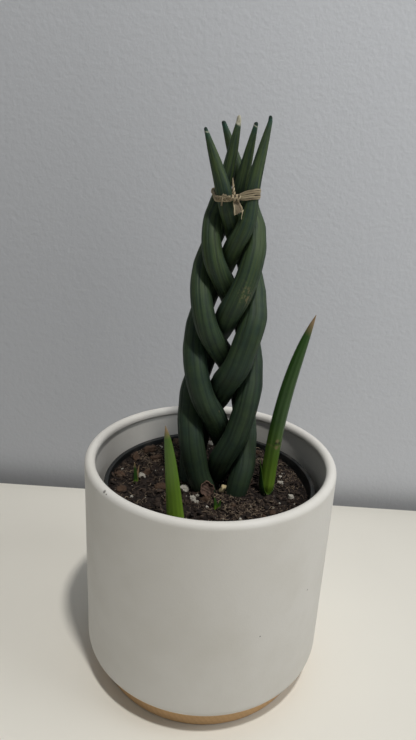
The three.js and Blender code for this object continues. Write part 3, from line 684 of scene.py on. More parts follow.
def settled_braid():
    """The leaves' places at each level. They press each other apart, level by level, until their round hulls clear
    each other, while the tie holds them together near the top."""
    heights = FOOT_Z + LEVEL_STEP * np.arange(LEVEL_COUNT)
    radii = np.stack([leaf_radius(turn, heights) for turn in range(5)])
    radii = np.where(heights > TIPS[:, 2:], -LEVEL_STEP * REACH, radii)
    plans = np.stack([planned_point(turn, heights) for turn in range(5)])
    for _ in range(12):
        plans = smoothed(plans, 0.5)
    offsets = np.arange(-REACH, REACH + 1)
    level = np.arange(LEVEL_COUNT)[:, None] + offsets
    outside = (level < 0) | (level >= LEVEL_COUNT)
    level = np.clip(level, 0, LEVEL_COUNT - 1)
    same = np.eye(5, dtype=bool)
    half_depth = mix(BRAID_DEPTH, TIE_DEPTH, smoothstep(heights, FLATTEN_Z, TIE_Z)) / 2
    half_depth = half_depth + FOOT_ROOM * near_foot(heights)
    shifts = np.zeros_like(plans)
    for number_of_pass in range(PASSES):
        places = plans + shifts
        apart = places[:, None, :, None] - places[None][:, :, level]
        distance = np.sqrt((apart**2).sum(-1) + (offsets * LEVEL_STEP) ** 2)
        depth = radii[:, None, :, None] + radii[None][:, :, level] + LEAF_GAP - distance
        depth[:, :, outside] = 0
        depth[same] = 0
        deepest = depth.argmax(-1)[..., None]
        push = np.maximum(np.take_along_axis(depth, deepest, -1), 0)
        away = np.take_along_axis(apart, deepest[..., None], -2)[..., 0, :]
        flat = np.hypot(DEPTH_FIRST * away[..., :1], away[..., 1:]) + 1e-9
        shifts = shifts + (0.5 * push * away * [DEPTH_FIRST, 1] / flat).sum(1)
        shifts = smoothed(shifts, 0.5 * (1 - number_of_pass / PASSES) ** 2 + 0.1)
        hold = 0.5 if number_of_pass < 0.9 * PASSES else 0
        over_x = beyond(shifts[..., 0], SIDE_SLACK)
        over_y = beyond(plans[..., 1] + shifts[..., 1], half_depth - radii)
        shifts = shifts - hold * np.stack([over_x, over_y], -1)
    settled = plans + shifts
    settled[..., 0] += axis_x(heights)
    return settled


BRAID = settled_braid()


def leaf_point(turn, z):
    """A smooth curve through the settled places: a cubic between each two levels."""
    z = np.asarray(z, float)
    place = np.clip((z - FOOT_Z) / LEVEL_STEP, 1, LEVEL_COUNT - 2.001)
    level = np.floor(place).astype(int)
    t = (place - level)[..., None]
    a, b, c, d = (BRAID[turn][level + k] for k in (-1, 0, 1, 2))
    spot = b + 0.5 * t * (c - a + t * (2 * a - 5 * b + 4 * c - d + t * (3 * (b - c) + d - a)))
    return np.concatenate([spot, z[..., None]], -1)


LEAF_RINGS = 280
LEAF_COLUMNS = 120
TIP_ROUND = 0.9
BLUNT = 0.3
PINCH = 0.055
SCUFF = (13.8, -17, 252.5)
SCUFF_SIZE = (3.2, 6, 5)
# How each leaf ends: how long its dry end is, and how far below the tip a pale ring or patch lies, or none.
ENDS = ((0, None), (0, 2.1), (4.6, 4.0), (0, 1.9), (0, None))


def leaf_shape(turn, settings):
    """A leaf: rings of radius r(z) (1 - grooves(a)) carried along its path. Each groove is a narrow bell in the
    angle with a depth of its own, and slides slowly round the leaf with the height. The tie pinches the leaf."""
    rng = np.random.default_rng(40 + turn)
    dry_length, ring_depth = ENDS[turn]
    top = TIPS[turn, 2] + 0.4
    share = 1 - (1 - np.linspace(0, 1, LEAF_RINGS + 1)[:-1]) ** 1.35
    z = mix(FOOT_Z, top, share)
    angle = angles(LEAF_COLUMNS)
    from_top = top - z
    end = np.sqrt(1 - (1 - np.clip(from_top / TIP_ROUND, 0, 1)) ** 2)
    blunt = 0 if dry_length else BLUNT * np.exp(-from_top / 4)
    radius = (leaf_radius(turn, z) + blunt) * end
    radius = radius * (1 - PINCH * bell(z - TIE_Z + 0.8, 2.6))
    count = settings.grooves
    centres = (np.arange(count) + rng.uniform(-0.3, 0.3, count)) / count * TURN
    depths = settings.groove * rng.uniform(0.45, 1.25, count)
    widths = rng.uniform(0.05, 0.11, count)
    drift = rng.uniform(-0.25, 0.25) * (z - FOOT_Z) / 240
    bells = bell(wrapped(angle[None, :, None] - centres - drift[:, None, None]), widths)
    fade = smoothstep(from_top, 0, 25)[:, None] * mix(0.5, 1, smoothstep(z, 110, 160))[:, None]
    grooves = (depths * bells).sum(-1) * fade
    lumps = 0.007 * noise_round(angle, 3, z[:, None] / 14, turn)
    fine = 0.0025 * noise_round(angle, 16, z[:, None] / 60, turn + 9)
    sections = round_sections(radius[:, None] * (1 - grooves + lumps + fine), LEAF_COLUMNS)
    along = leaf_point(turn, z + 1) - leaf_point(turn, z - 1)
    path = leaf_point(turn, z)
    points = carried(path, sections, along)
    straight = ring_points(radius[:, None], angle, reach_along(path)[:, None]) * MM
    # furrow holds each groove's depth: the mask of the painted shade in the grooves.
    furrow = (bells * depths / depths.max()).max(-1) * fade
    scuff = np.exp(-(((points - SCUFF) / SCUFF_SIZE) ** 2).sum(-1)) if turn == 0 else 0 * furrow
    dry = smoothstep(dry_length + 0.4 * np.sin(3 * angle) - from_top[:, None], 0, 0.5) if dry_length else 0 * furrow
    front = 0.5 - 0.5 * np.sin(angle)
    ring = 0 * furrow
    if ring_depth is not None:
        wide = 0.55 if dry_length else 0.22
        ring = bell(from_top[:, None] - ring_depth - 0.5 * np.cos(angle + 0.6), wide) * front
    masks = {"straight": straight, "furrow": furrow, "from_tip": (from_top * MM)[:, None] + 0 * furrow,
             "scuff": scuff, "dry": dry, "ring": ring}
    masks = {label: with_poles(mask) for label, mask in masks.items()}
    shape = capped(points)
    shape[0][-1] = leaf_point(turn, top)
    return shape, masks


def leaf_material(settings):
    material, tree = new_material("braided_leaf")
    straight = attribute(tree, "straight", "Vector")
    broad = streaks(tree, straight, 420.0, 9.0, 0.42, 0.62)
    fine = streaks(tree, straight, 1300.0, 24.0, 0.32, 0.68)
    cloud = blotches(tree, straight, 60.0, 0.4, 0.68)
    bands = streaks(tree, straight, 60.0, 330.0, 0.46, 0.7)
    height = add_node(tree, "ShaderNodeSeparateXYZ", {0: place_of(tree)}).outputs[2]
    upper = remap(tree, height, 0.2, 0.33, 0.2, 1.0)
    colour = tinted(tree, settings.deep, broad["Mask"], upper, settings.fresh)
    colour = tinted(tree, colour, cloud["Mask"], 0.3, settings.fresh)
    colour = tinted(tree, colour, fine["Mask"], 0.4, settings.furrow)
    colour = tinted(tree, colour, bands["Mask"], 0.16, settings.fresh)
    # Painted shade in the grooves: each groove darkens by its depth.
    colour = tinted(tree, colour, attribute(tree, "furrow"), 0.55, settings.furrow)
    # Painted shade: the leaves' colour darkens by up to a quarter towards the soil, below 0.25 m.
    colour = blend(tree, remap(tree, height, 0.25, 0.13, 0.0, 0.25), colour, (0, 0, 0))
    from_tip = attribute(tree, "from_tip")
    colour = blend(tree, remap(tree, from_tip, 0.007, 0.002, 0.0, 0.9), colour, settings.tip)
    ragged = plus(tree, from_tip, times(tree, fine["Height"], -0.0016))
    end = remap(tree, ragged, 0.0012, 0.0003)
    colour = tinted(tree, colour, end, 0.7, settings.furrow)
    grain = blotches(tree, straight, 900.0, 0.5, 0.62)
    scuff = times(tree, attribute(tree, "scuff"), grain["Mask"])
    colour = tinted(tree, colour, scuff, 0.5, settings.dry)
    dry = blend(tree, math_node(tree, "POWER", fine["Mask"], 2.0), settings.scar, darker(settings.dry, 0.4))
    colour = tinted(tree, colour, attribute(tree, "dry"), 0.9, dry)
    colour = tinted(tree, colour, attribute(tree, "ring"), 0.8, settings.scar)
    freckles = specks(tree, straight, 160.0, 0.1, 0.05)
    colour = tinted(tree, colour, freckles["Mask"], 0.3, settings.dry)
    duller = times(tree, attribute(tree, "dry"), 0.25)
    roughness = plus(tree, remap(tree, fine["Height"], 0.2, 0.8, 0.5, 0.64), duller)
    relief = plus(tree, fine["Height"], times(tree, grain["Height"], 0.35))
    return finish_material(material, colour, roughness, relief, distance=0.0003, strength=0.7,
                           Specular_IOR_Level=0.26)


# ---------------------------------------------------------------- the pots and the base


def arc(centre, radius, start, end, count):
    """Points on an arc from one angle to another, in degrees."""
    angle = np.radians(np.linspace(start, end, count))
    return [(centre[0] + radius * math.cos(a), centre[1] + radius * math.sin(a)) for a in angle]


def line(start, end, count):
    """Points between two points, without the ends."""
    return [tuple(mix(np.array(start), np.array(end), (i + 1) / (count + 1))) for i in range(count)]


def hand_thrown(radius, angle, height):
    """A very slight unevenness of the wall, as slow waves round it and up it."""
    waves = 0.1 * noise_round(angle, 2, height / 40, 3)
    return (waves - 0.1) * smoothstep(radius, 20, 60)


def pot_shape(settings):
    """The pot's profile, turned: foot, rounded corner, straight wall, half-round lip, bead and inner wall."""
    radius, lip, corner = settings.radius / MM, settings.lip / MM, settings.corner / MM
    foot, top = POT_LOW[2], POT_HIGH[2]
    middle = radius - lip
    bead = top - settings.bead / MM
    wall_foot = foot + corner
    profile = [
        (0, foot), (20, foot), (45, foot), (radius - corner - 6, foot),
        *arc((radius - corner, wall_foot), corner, -90, 0, 14),
        *line((radius, wall_foot), (radius, top - lip), 60),
        *arc((middle, top - lip), lip, 0, 180, 22),
        *arc((middle - lip + 0.7, bead + 0.9), 0.7, 180, 262, 6),
        *arc((POT_INSIDE - 0.6, bead - 0.8), 0.6, 90, 0, 5),
        *line((POT_INSIDE, bead - 0.8), (POT_INSIDE, POT_FLOOR + 5), 40),
        *arc((POT_INSIDE - 5, POT_FLOOR + 5), 5, 0, -90, 8),
        (40, POT_FLOOR), (0, POT_FLOOR),
    ]
    return turned(profile, 256, hand_thrown)


POT_SPECKS = ((-56.6, -51.1, 147.6, 1.2), (-62.6, -46.6, 145.6, 0.8), (-55.2, -53.2, 147.3, 0.6),
              (60.8, -48.9, 88.8, 0.6), (33.5, -70.4, 73, 0.7), (-20, -75.4, 60, 0.35), (49, 60, 110, 0.5),
              (-70, 33, 70, 0.45))
POT_CHIPS = ((20.5, -72.9, 17.6, 1.0), (23.8, -72.3, 18.4, 1.4), (27.2, -71.2, 18, 1.2), (30.5, -69.6, 18.8, 0.8))


def spots(tree, place, list_of_spots):
    """The strongest of several spots, each with its x, y, z and size in millimetres."""
    mask = None
    for *centre, size in list_of_spots:
        spot = use_group(tree, spot_group(), {"Vector": place, "Place": [c * MM for c in centre], "Size": size * MM})
        mask = spot["Mask"] if mask is None else math_node(tree, "MAXIMUM", mask, spot["Mask"])
    return mask


def glaze_material(settings):
    material, tree = new_material("matte_glaze")
    place = place_of(tree)
    cloud = blotches(tree, place, 22.0, 0.42, 0.72)
    pits = specks(tree, place, 240.0, 0.16, 0.035)
    grain = blotches(tree, place, 1400.0, detail=2.0)
    waves = blotches(tree, place, 90.0)
    colour = tinted(tree, settings.glaze, cloud["Mask"], 0.55, settings.stain)
    colour = tinted(tree, colour, pits["Mask"], 0.25, settings.stain)
    noise = add_node(tree, "ShaderNodeTexNoise", {"Vector": place, "Scale": 1600.0}).outputs["Fac"]
    ragged = add_node(tree, "ShaderNodeVectorMath", {0: place, 1: times(tree, noise, 0.0006)},
                      operation="ADD").outputs[0]
    dark = times(tree, spots(tree, ragged, POT_SPECKS), 0.75)
    colour = blend(tree, dark, colour, (0.07, 0.06, 0.05))
    chips = spots(tree, ragged, POT_CHIPS)
    colour = tinted(tree, colour, chips, 0.6, settings.wood_dark)
    roughness = remap(tree, cloud["Height"], 0.3, 0.7, 0.5, 0.6)
    relief = plus(tree, grain["Height"], times(tree, waves["Height"], 3.0))
    relief = math_node(tree, "SUBTRACT", relief, times(tree, pits["Mask"], 0.8))
    relief = math_node(tree, "SUBTRACT", relief, times(tree, chips, 3.0))
    return finish_material(material, colour, roughness, relief, distance=0.00009, strength=0.7,
                           Specular_IOR_Level=0.4)


def base_shape(settings):
    """The base's profile, turned: a plain disc with small rounded edges."""
    radius, low, high = settings.base_radius / MM, BASE_LOW[2], BASE_HIGH[2]
    profile = [(0, low), (20, low), (45, low), (radius - 2.5, low)]
    profile += arc((radius - 1, low + 1), 1, -90, 0, 5) + line((radius, low + 1), (radius, high - 1), 8)
    profile += arc((radius - 1, high - 1), 1, 0, 90, 5) + [(45, high), (20, high), (0, high)]
    return turned(profile, ROUND_SIDES)


def wood_material(settings):
    material, tree = new_material("pale_wood")
    turned_place = add_node(tree, "ShaderNodeMapping", {"Vector": place_of(tree), "Rotation": (1.15, 0.35, 0.5)})
    place = turned_place.outputs[0]
    fibres = streaks(tree, place, 900.0, 30.0, 0.35, 0.7)
    warp = blotches(tree, place, 14.0)
    across = add_node(tree, "ShaderNodeSeparateXYZ", {0: place}).outputs[0]
    bent = plus(tree, across, times(tree, warp["Height"], 0.012))
    rings = math_node(tree, "SINE", times(tree, bent, 2100.0))
    rings = remap(tree, rings, -0.2, 1.0)
    colour = tinted(tree, settings.wood_light, rings, 0.14, settings.wood_dark)
    colour = tinted(tree, colour, fibres["Mask"], 0.2, settings.wood_dark)
    pores = streaks(tree, place, 2600.0, 150.0, 0.62, 0.7)
    colour = tinted(tree, colour, pores["Mask"], 0.2, (0.16, 0.09, 0.04))
    roughness = remap(tree, fibres["Height"], 0.3, 0.7, 0.5, 0.66)
    relief = math_node(tree, "SUBTRACT", fibres["Height"], pores["Mask"])
    return finish_material(material, colour, roughness, relief, distance=0.00015, strength=0.6,
                           Specular_IOR_Level=0.35)


def nursery_inside(z):
    share = (z - POT_FLOOR) / (RIM_FOOT - POT_FLOOR)
    return mix(NURSERY_FOOT, NURSERY_HIGH[0] - RIM_STEP, share) - NURSERY_WALL


DRAINS = 6
DRAIN_RADIUS = 4
DRAIN_CIRCLE = 34
LINER_DISC = NURSERY_FOOT - 3


def drained_floor(low, high):
    """The floor out to LINER_DISC, as one closed slab for each drain hole: a sector of the disc with a round hole in
    it. Its loop runs from the hole's lower edge out to the sector's edge, up, back to the hole and down."""
    angle = angles(72)
    ray = np.stack([np.cos(angle), np.sin(angle)], -1)
    half = math.pi / DRAINS
    # How far each ray from the hole's middle runs to the sector's straight sides and to its round side.
    rate = np.abs(ray[:, 1]) * math.cos(half) - ray[:, 0] * math.sin(half)
    straight = DRAIN_CIRCLE * math.sin(half) / np.maximum(rate, 1e-6)
    ahead = DRAIN_CIRCLE * ray[:, 0]
    round_side = np.sqrt(ahead**2 + LINER_DISC**2 - DRAIN_CIRCLE**2) - ahead
    reach = np.minimum(straight, round_side)
    middle = np.array([DRAIN_CIRCLE, 0])
    parts = []
    for number_of_hole in range(DRAINS):
        turn = (number_of_hole + 0.5) / DRAINS * TURN
        spin = np.array([[math.cos(turn), math.sin(turn)], [-math.sin(turn), math.cos(turn)]])
        hole, edge = (middle + DRAIN_RADIUS * ray) @ spin, (middle + reach[:, None] * ray) @ spin
        rows = [(hole, low), (edge, low), (edge, high), (hole, high)]
        points = np.stack([np.concatenate([flat, np.full((72, 1), z)], -1) for flat, z in rows])
        parts.append((points.reshape(-1, 3), *grid_faces(4, 72, ring_of_rows=True)))
    return parts


def nursery_shape():
    """The nursery pot: a turned wall with its rim, as a closed loop, and a floor with drain holes."""
    rim, top, low = NURSERY_HIGH[0], NURSERY_HIGH[2], NURSERY_LOW[2]
    profile = [(LINER_DISC, low), (NURSERY_FOOT, low)]
    profile += line((NURSERY_FOOT, low), (rim - RIM_STEP, RIM_FOOT), 24)
    profile += [(rim - RIM_STEP, RIM_FOOT), (rim - 0.3, RIM_FOOT + 0.3), (rim, RIM_FOOT + 0.7)]
    profile += arc((rim - 0.8, top - 0.8), 0.8, 0, 90, 5)
    profile += arc((rim - 1.9, top - 0.8), 0.8, 90, 180, 5)
    profile += [(rim - 2.75, RIM_FOOT + 1.2)]
    floor = low + NURSERY_FLOOR
    profile += line((nursery_inside(RIM_FOOT), RIM_FOOT), (nursery_inside(floor), floor), 24)
    profile += [(nursery_inside(floor), floor), (LINER_DISC, floor)]
    radius, height = (np.array(values)[:, None] for values in zip(*profile))
    angle = angles(ROUND_SIDES)
    radius = radius + 0.12 * noise_round(angle, 5, height / 30, 8) - 0.12
    wall = ring_points(radius, angle, height)
    faces = grid_faces(len(profile), ROUND_SIDES, ring_of_rows=True)
    return joined([(wall.reshape(-1, 3), *faces), *drained_floor(low, floor)])


def plastic_material(settings):
    material, tree = new_material("black_plastic")
    place = place_of(tree)
    dust = blotches(tree, place, 160.0, 0.5, 0.75)
    marks = streaks(tree, place, 260.0, 1900.0, 0.55, 0.75)
    colour = tinted(tree, settings.plastic, dust["Mask"], 0.3, (0.09, 0.075, 0.06))
    colour = tinted(tree, colour, marks["Mask"], 0.15, (0.12, 0.12, 0.12))
    roughness = remap(tree, dust["Height"], 0.3, 0.7, 0.4, 0.62)
    return finish_material(material, colour, roughness, marks["Height"], distance=0.0001, strength=0.4)


# ---------------------------------------------------------------- the soil


def soil_height(x, y):
    """A low mound with small hummocks."""
    out = np.hypot(x, y) / nursery_inside(SOIL_EDGE)
    hummocks = (0.55 * np.sin(x / 4.3 + 1.1) * np.cos(y / 3.7) + 0.45 * np.sin((x - 1.4 * y) / 6.1)
                + 0.35 * np.cos((1.3 * x + y) / 3.1))
    return SOIL_EDGE + SOIL_MOUND * (1 - out**2) + hummocks * np.clip(4 * (1 - out), 0, 1)


def edge_drop(x, y):
    """How far the soil has sunk beside the nursery pot's wall, most of all at the right."""
    out = np.hypot(x, y)
    rightwards = np.clip(x / np.maximum(out, 1), 0, 1) ** 2
    return (1 + 4 * rightwards) * smoothstep(out, nursery_inside(SOIL_EDGE) - mix(4, 7, rightwards), 63.2)


def crumbly_height(x, y, relief):
    """The mound with crumbs: sharp-topped lumps of three sizes, from the distance of noise to zero."""
    out = np.hypot(x, y) / nursery_inside(SOIL_EDGE)
    lumps = sum(
        weight * (1 - 2.2 * np.abs(rough_noise(x, y, 0 * x, size, 2, seed)))
        for size, weight, seed in ((5.5, 0.5, 21), (2.4, 0.3, 22), (1.2, 0.17, 23))
    )
    return soil_height(x, y) - edge_drop(x, y) + relief * (lumps - 0.35) * np.clip(12 * (1 - out), 0.15, 1)


SOIL_RINGS = 210
SOIL_COLUMNS = 400


def soil_shape(settings):
    """A disc of rings whose height is the crumbly mound, then the root ball's side and bottom below it."""
    edge = nursery_inside(SOIL_EDGE) - CLEARANCE
    bottom = POT_FLOOR + NURSERY_FLOOR
    angle = angles(SOIL_COLUMNS)
    out = edge * np.linspace(1, 0, SOIL_RINGS + 1)[:-1][:, None]
    x, y = out * np.cos(angle), out * np.sin(angle)
    top = np.stack([x, y, crumbly_height(x, y, settings.relief / MM)], -1)
    depth = np.array([bottom, bottom, mix(bottom, SOIL_EDGE, 0.5), SOIL_EDGE - 7])[:, None]
    wide = np.array([0.5, 1, 1, 1])[:, None] * (nursery_inside(depth) - CLEARANCE)
    points = np.concatenate([ring_points(wide, angle, depth), top])
    shape = capped(points)
    shape[0][-1, 2] = crumbly_height(np.zeros(1), np.zeros(1), settings.relief / MM)[0]
    # rise: how far the crumbs stand above the smooth mound; the material paints shade into the hollows by it.
    rise = np.concatenate([np.zeros((4, SOIL_COLUMNS)), top[..., 2] - soil_height(x, y)])
    return shape, {"rise": with_poles(rise)}


# The larger grains and chips: x, y and size.
GRAINS = (
    (-15.1, -16.8, 2.7), (-9.3, -24, 2), (-6.8, -20.5, 1.3), (-6.8, -28.3, 1.3), (-0.6, -32.6, 1),
    (8.4, -15, 2.8), (-43.3, -1.1, 2.4), (45.3, 0.3, 1.8), (50.6, -13.6, 1.9), (46.1, 9.4, 1.1),
    (-57.6, 8.7, 0.9), (-46.5, -23.8, 1), (-30.5, 9.1, 1), (38.5, -28.4, 0.8), (8.3, -41.6, 1.1),
    (19, -42.6, 1.2), (56.6, 18.6, 0.9),
)
CHIPS = (
    (-1.6, -24.6, 3.6), (-42.8, 35.7, 4.6), (-37.2, 22.6, 4.2), (-57.6, 0.8, 3.4), (-29.9, -13, 4), (-26, 26, 4),
    (41, 27, 3.4), (-50.5, 24.4, 3.6), (-53.5, -16.9, 3.2),
)
NAMED_LUMPS = [(*lump, "perlite") for lump in GRAINS] + [(*lump, "bark") for lump in CHIPS]
HIDDEN_Y = 12
SMALL_GRAINS = 90
# Loose crumbs, flakes and fibres count as raised, so the painted shade of the hollows leaves them alone.
LOOSE_RISE = 0.7
BACK_GRAINS = [(-1.7, 50, 2.6, "perlite", 0.3, 0.5, 0.2)]
CREAM_LUMP = 5
SPROUTS = {"sprout_left": (-46, -8), "sprout_front": (5.4, -33.2)}
SHOOT_RIGHT = {"x": 35.2, "y": -11, "tip": 242.2, "lean": 18.4, "radius": 4.3}
SHOOT_LEFT = {"x": -17.3, "y": -50, "tip": 188.8, "slope": -0.098, "bend": -1.2, "depth": 0.6}
SHOOT_FOOT = 106
SHOOT_SCAR_Z = 163.4
BLADE_FOOT = 119
BLADE_FOLD = -1.2
HUSK = {"x": -1.4, "y": -22.4, "z": 135.2, "radius": 4.3, "dish": 2.2, "wall": 0.9, "tilt": 58}


def standing():
    """x, y and radius of what stands in the soil."""
    feet = [(*leaf_point(turn, SOIL_LEVEL)[:2], leaf_radius(turn, SOIL_LEVEL)) for turn in range(5)]
    feet += [(x, y, 3.5) for x, y in SPROUTS.values()]
    feet += [(SHOOT_RIGHT["x"], SHOOT_RIGHT["y"], 5.1), (SHOOT_LEFT["x"], SHOOT_LEFT["y"], 5.0)]
    return feet + [(HUSK["x"], HUSK["y"], HUSK["radius"] + 1)]


def all_lumps(grains=6, chips=12):
    """The named lumps and the scattered ones, with their own turns: x, y, size, kind and three draws. The
    scattered grains lie behind the braid."""
    draw = seeded_draw(7)
    taken = standing() + [lump[:3] for lump in NAMED_LUMPS]
    lumps = list(NAMED_LUMPS)
    while len(lumps) < len(NAMED_LUMPS) + grains + chips:
        kind = "perlite" if len(lumps) < len(NAMED_LUMPS) + grains else "bark"
        size = 1.6 + 1.6 * next(draw) if kind == "bark" else 0.9 + 0.9 * next(draw)
        out = (nursery_inside(SOIL_EDGE) - 2.5 - size) * math.sqrt(next(draw))
        angle = TURN * next(draw)
        x, y = out * math.cos(angle), out * math.sin(angle)
        if kind == "perlite" and y < HIDDEN_Y:
            continue
        if all(math.hypot(x - tx, y - ty) > tr + size + 0.6 for tx, ty, tr in taken):
            taken.append((x, y, size))
            lumps.append((x, y, size, kind))
    return [(*lump, next(draw), next(draw), next(draw)) for lump in lumps]


def lump_shapes(kind):
    """Rounded or boxy lumps: |x|^p + |y|^p + |z|^p = 1 with a rough surface, sized and turned one by one."""
    rows, columns = 24, 36
    polar = np.linspace(0, math.pi, rows + 2)[1:-1][:, None]
    angle = angles(columns)
    ball = ring_points(np.sin(polar), angle, -np.cos(polar))
    power, sizes = (3.6, (1.0, 0.72, 0.6)) if kind == "bark" else (4.2, (0.92, 0.82, 0.74))
    block = ball / (np.abs(ball) ** power).sum(-1, keepdims=True) ** (1 / power)
    parts = []
    for number_of_lump, (x, y, size, lump_kind, a, b, c) in enumerate(all_lumps() + BACK_GRAINS):
        if lump_kind != kind:
            continue
        wear = 0.34 if kind == "bark" else 0.26
        bumps = 0.98 + wear * rough_noise(*np.moveaxis(1.0 * ball, -1, 0), 0.8, 4, number_of_lump)
        lump = block * bumps[..., None] * np.array(sizes) * size * (0.96 if kind == "bark" else 1.0)
        turn = (Matrix.Rotation(TURN * c, 3, "Z") @ Matrix.Rotation(0.8 * (b - 0.5), 3, "Y")
                @ Matrix.Rotation(0.8 * (a - 0.5), 3, "X"))
        lift = soil_height(x, y) - edge_drop(x, y) + (0.1 if kind == "bark" else 0.25) * size
        if number_of_lump == CREAM_LUMP:
            lump, lift = lump * [0.58, 0.62, 1.4], lift + 1.6
        parts.append(capped(lump @ np.array(turn).T + [x, y, lift]))
    return joined(parts)


def scattered(count, rng, edge, clear=0.4):
    """Random places on the soil, clear of what stands in it."""
    out = (edge - 1.2) * np.sqrt(rng.random(3 * count))
    angle = TURN * rng.random(3 * count)
    x, y = out * np.cos(angle), out * np.sin(angle)
    free = np.ones(len(x), bool)
    for fx, fy, fr in standing()[:5] + standing()[7:9]:
        free &= np.hypot(x - fx, y - fy) > fr + clear
    return x[free][:count], y[free][:count]


def crumb_shapes(settings, rng, count, smallest, largest, flatness, lift):
    """Small rough lumps of 24 faces: a six-sided ball of three rings, pulled about, sized and turned."""
    polar = np.array([0.27, 0.5, 0.73])[:, None] * math.pi
    angle = angles(6)
    ball, quads, triangles = capped(ring_points(np.sin(polar), angle, -np.cos(polar)))
    ball[-2:, 2] = (-1, 1)
    edge = nursery_inside(SOIL_EDGE) - CLEARANCE
    x, y = scattered(count, rng, edge)
    count = len(x)
    size = mix(smallest, largest, rng.random(count) ** 2.2)
    pulled = ball * rng.uniform(0.7, 1.3, (count, len(ball), 1))
    sides = np.stack([np.ones(count), rng.uniform(0.55, 1, count), rng.uniform(*flatness, count)], -1)
    shape = pulled * sides[:, None]
    shape = np.einsum("nij,nvj->nvi", random_turns(count, rng, 0.8), shape) * size[:, None, None]
    z = crumbly_height(x, y, settings.relief / MM) + lift * size
    points = shape + np.stack([x, y, z], -1)[:, None]
    shade = np.repeat(rng.random(count), len(ball))
    return (points.reshape(-1, 3), copies(len(ball), quads, count), copies(len(ball), triangles, count)), shade


# Where curled fibres lie thick: x, y, how far they spread in x and in y, and how many, as a share.
TUFTS = ((20, -32, 12, 5, 0.45), (-43, 33, 6, 5, 0.16), (-36, 20, 5, 4, 0.1), (-30, -13, 3, 3, 0.06),
         (7, -23, 5, 3, 0.12), (50, 4, 7, 12, 0.22), (-52, 6, 5, 14, 0.14))


def fibre_shapes(rng, x, y, reach, thickness, curve):
    """Thin fibres that lie in bows on the soil: a four-sided tube along (sin(c s) / c, (1 - cos(c s)) / c, hump),
    which is an arc that turns by 2 c, sized and turned one by one."""
    count = len(x)
    steps, sides = 9, 4
    s = np.linspace(-1, 1, steps)
    reach = rng.uniform(*reach, count)[:, None]
    bend = rng.uniform(*curve, count)[:, None] * np.where(rng.random(count) < 0.5, -1, 1)[:, None]
    wave = rng.uniform(-0.2, 0.2, count)[:, None]
    turn = rng.uniform(0, TURN, count)[:, None]
    u = reach * np.sin(bend * s) / bend
    v = reach * ((1 - np.cos(bend * s)) / bend + wave * np.sin(4 * s))
    px = x[:, None] + u * np.cos(turn) - v * np.sin(turn)
    py = y[:, None] + u * np.sin(turn) + v * np.cos(turn)
    hump = rng.uniform(0, 0.45, count)[:, None] * reach * (1 - s**2)
    pz = soil_height(px, py) - edge_drop(px, py) + 0.5 + hump + rng.uniform(-0.3, 0.5, count)[:, None]
    path = np.stack([px, py, pz], -1)
    along = unit(np.gradient(path, axis=1))
    side = unit(np.cross(along, [0, 0, 1.0]))
    up = np.cross(side, along)
    radius = rng.uniform(*thickness, count)[:, None] * np.sqrt(1.02 - s**2) ** 0.5
    angle = angles(sides)
    ring = (side[:, :, None] * np.cos(angle)[:, None] - up[:, :, None] * np.sin(angle)[:, None])
    points = path[:, :, None] + radius[..., None, None] * ring
    quads, triangles = grid_faces(steps, sides, start_pole=True, end_pole=True)
    flat = np.concatenate([points.reshape(count, -1, 3), path[:, [0, -1]]], 1)
    shade = np.repeat(rng.random(count), flat.shape[1])
    faces = copies(flat.shape[1], quads, count), copies(flat.shape[1], triangles, count)
    return (flat.reshape(-1, 3), *faces), shade


def soil_material(name, settings, dark, light, grain_scale=700.0, bump=0.0006, dotted=True):
    """Earthy finish: two browns by noise and by each crumb's own shade, with painted shade in the hollows by how high
    a point lies.
    """
    material, tree = new_material(name)
    place = place_of(tree)
    cloud = blotches(tree, place, 180.0, 0.46, 0.64, 5.0)
    grain = blotches(tree, place, grain_scale, detail=4.0)
    pale = times(tree, math_node(tree, "POWER", attribute(tree, "shade"), 1.6), 0.6)
    share = math_node(tree, "ADD", times(tree, cloud["Mask"], 0.45), pale, clamp=True)
    # Painted shade: points low in the hollows between crumbs get more of the dark colour.
    raised = remap(tree, attribute(tree, "rise"), -0.6, 0.7, 0.1, 1.0)
    colour = blend(tree, times(tree, share, raised), dark, light)
    colour = tinted(tree, colour, grain["Mask"], 0.45, dark)
    colour = tinted(tree, colour, attribute(tree, "cream"), 0.8, settings.cream)
    if dotted:
        dots = specks(tree, place, 420.0, 0.3, 0.03)
        colour = tinted(tree, colour, dots["Mask"], 0.7, settings.fibre)
    roughness = remap(tree, cloud["Height"], 0.3, 0.7, 0.78, 0.95)
    return finish_material(material, colour, roughness, grain["Height"], distance=bump, strength=0.8,
                           Specular_IOR_Level=0.25)


# ---------------------------------------------------------------- the young shoots


def shoot_right_path(z):
    share = np.clip((z - SHOOT_FOOT) / (SHOOT_RIGHT["tip"] - SHOOT_FOOT), 0, 1.02)
    x = SHOOT_RIGHT["x"] + SHOOT_RIGHT["lean"] * share**2.5
    return np.stack([x, np.full_like(x, SHOOT_RIGHT["y"]), z], -1)


def straight_masks(points, radii, foot, tip, z):
    """The masks that the shoots' material reads: the place on the unbent shoot, and the distances from its ends."""
    straight = ring_points(radii[:, None], angles(points.shape[1]), z[:, None]) * MM
    return {
        "straight": with_poles(straight),
        "from_tip": with_poles(tip * MM - straight[..., 2]),
        "from_foot": with_poles(straight[..., 2] - foot * MM),
    }


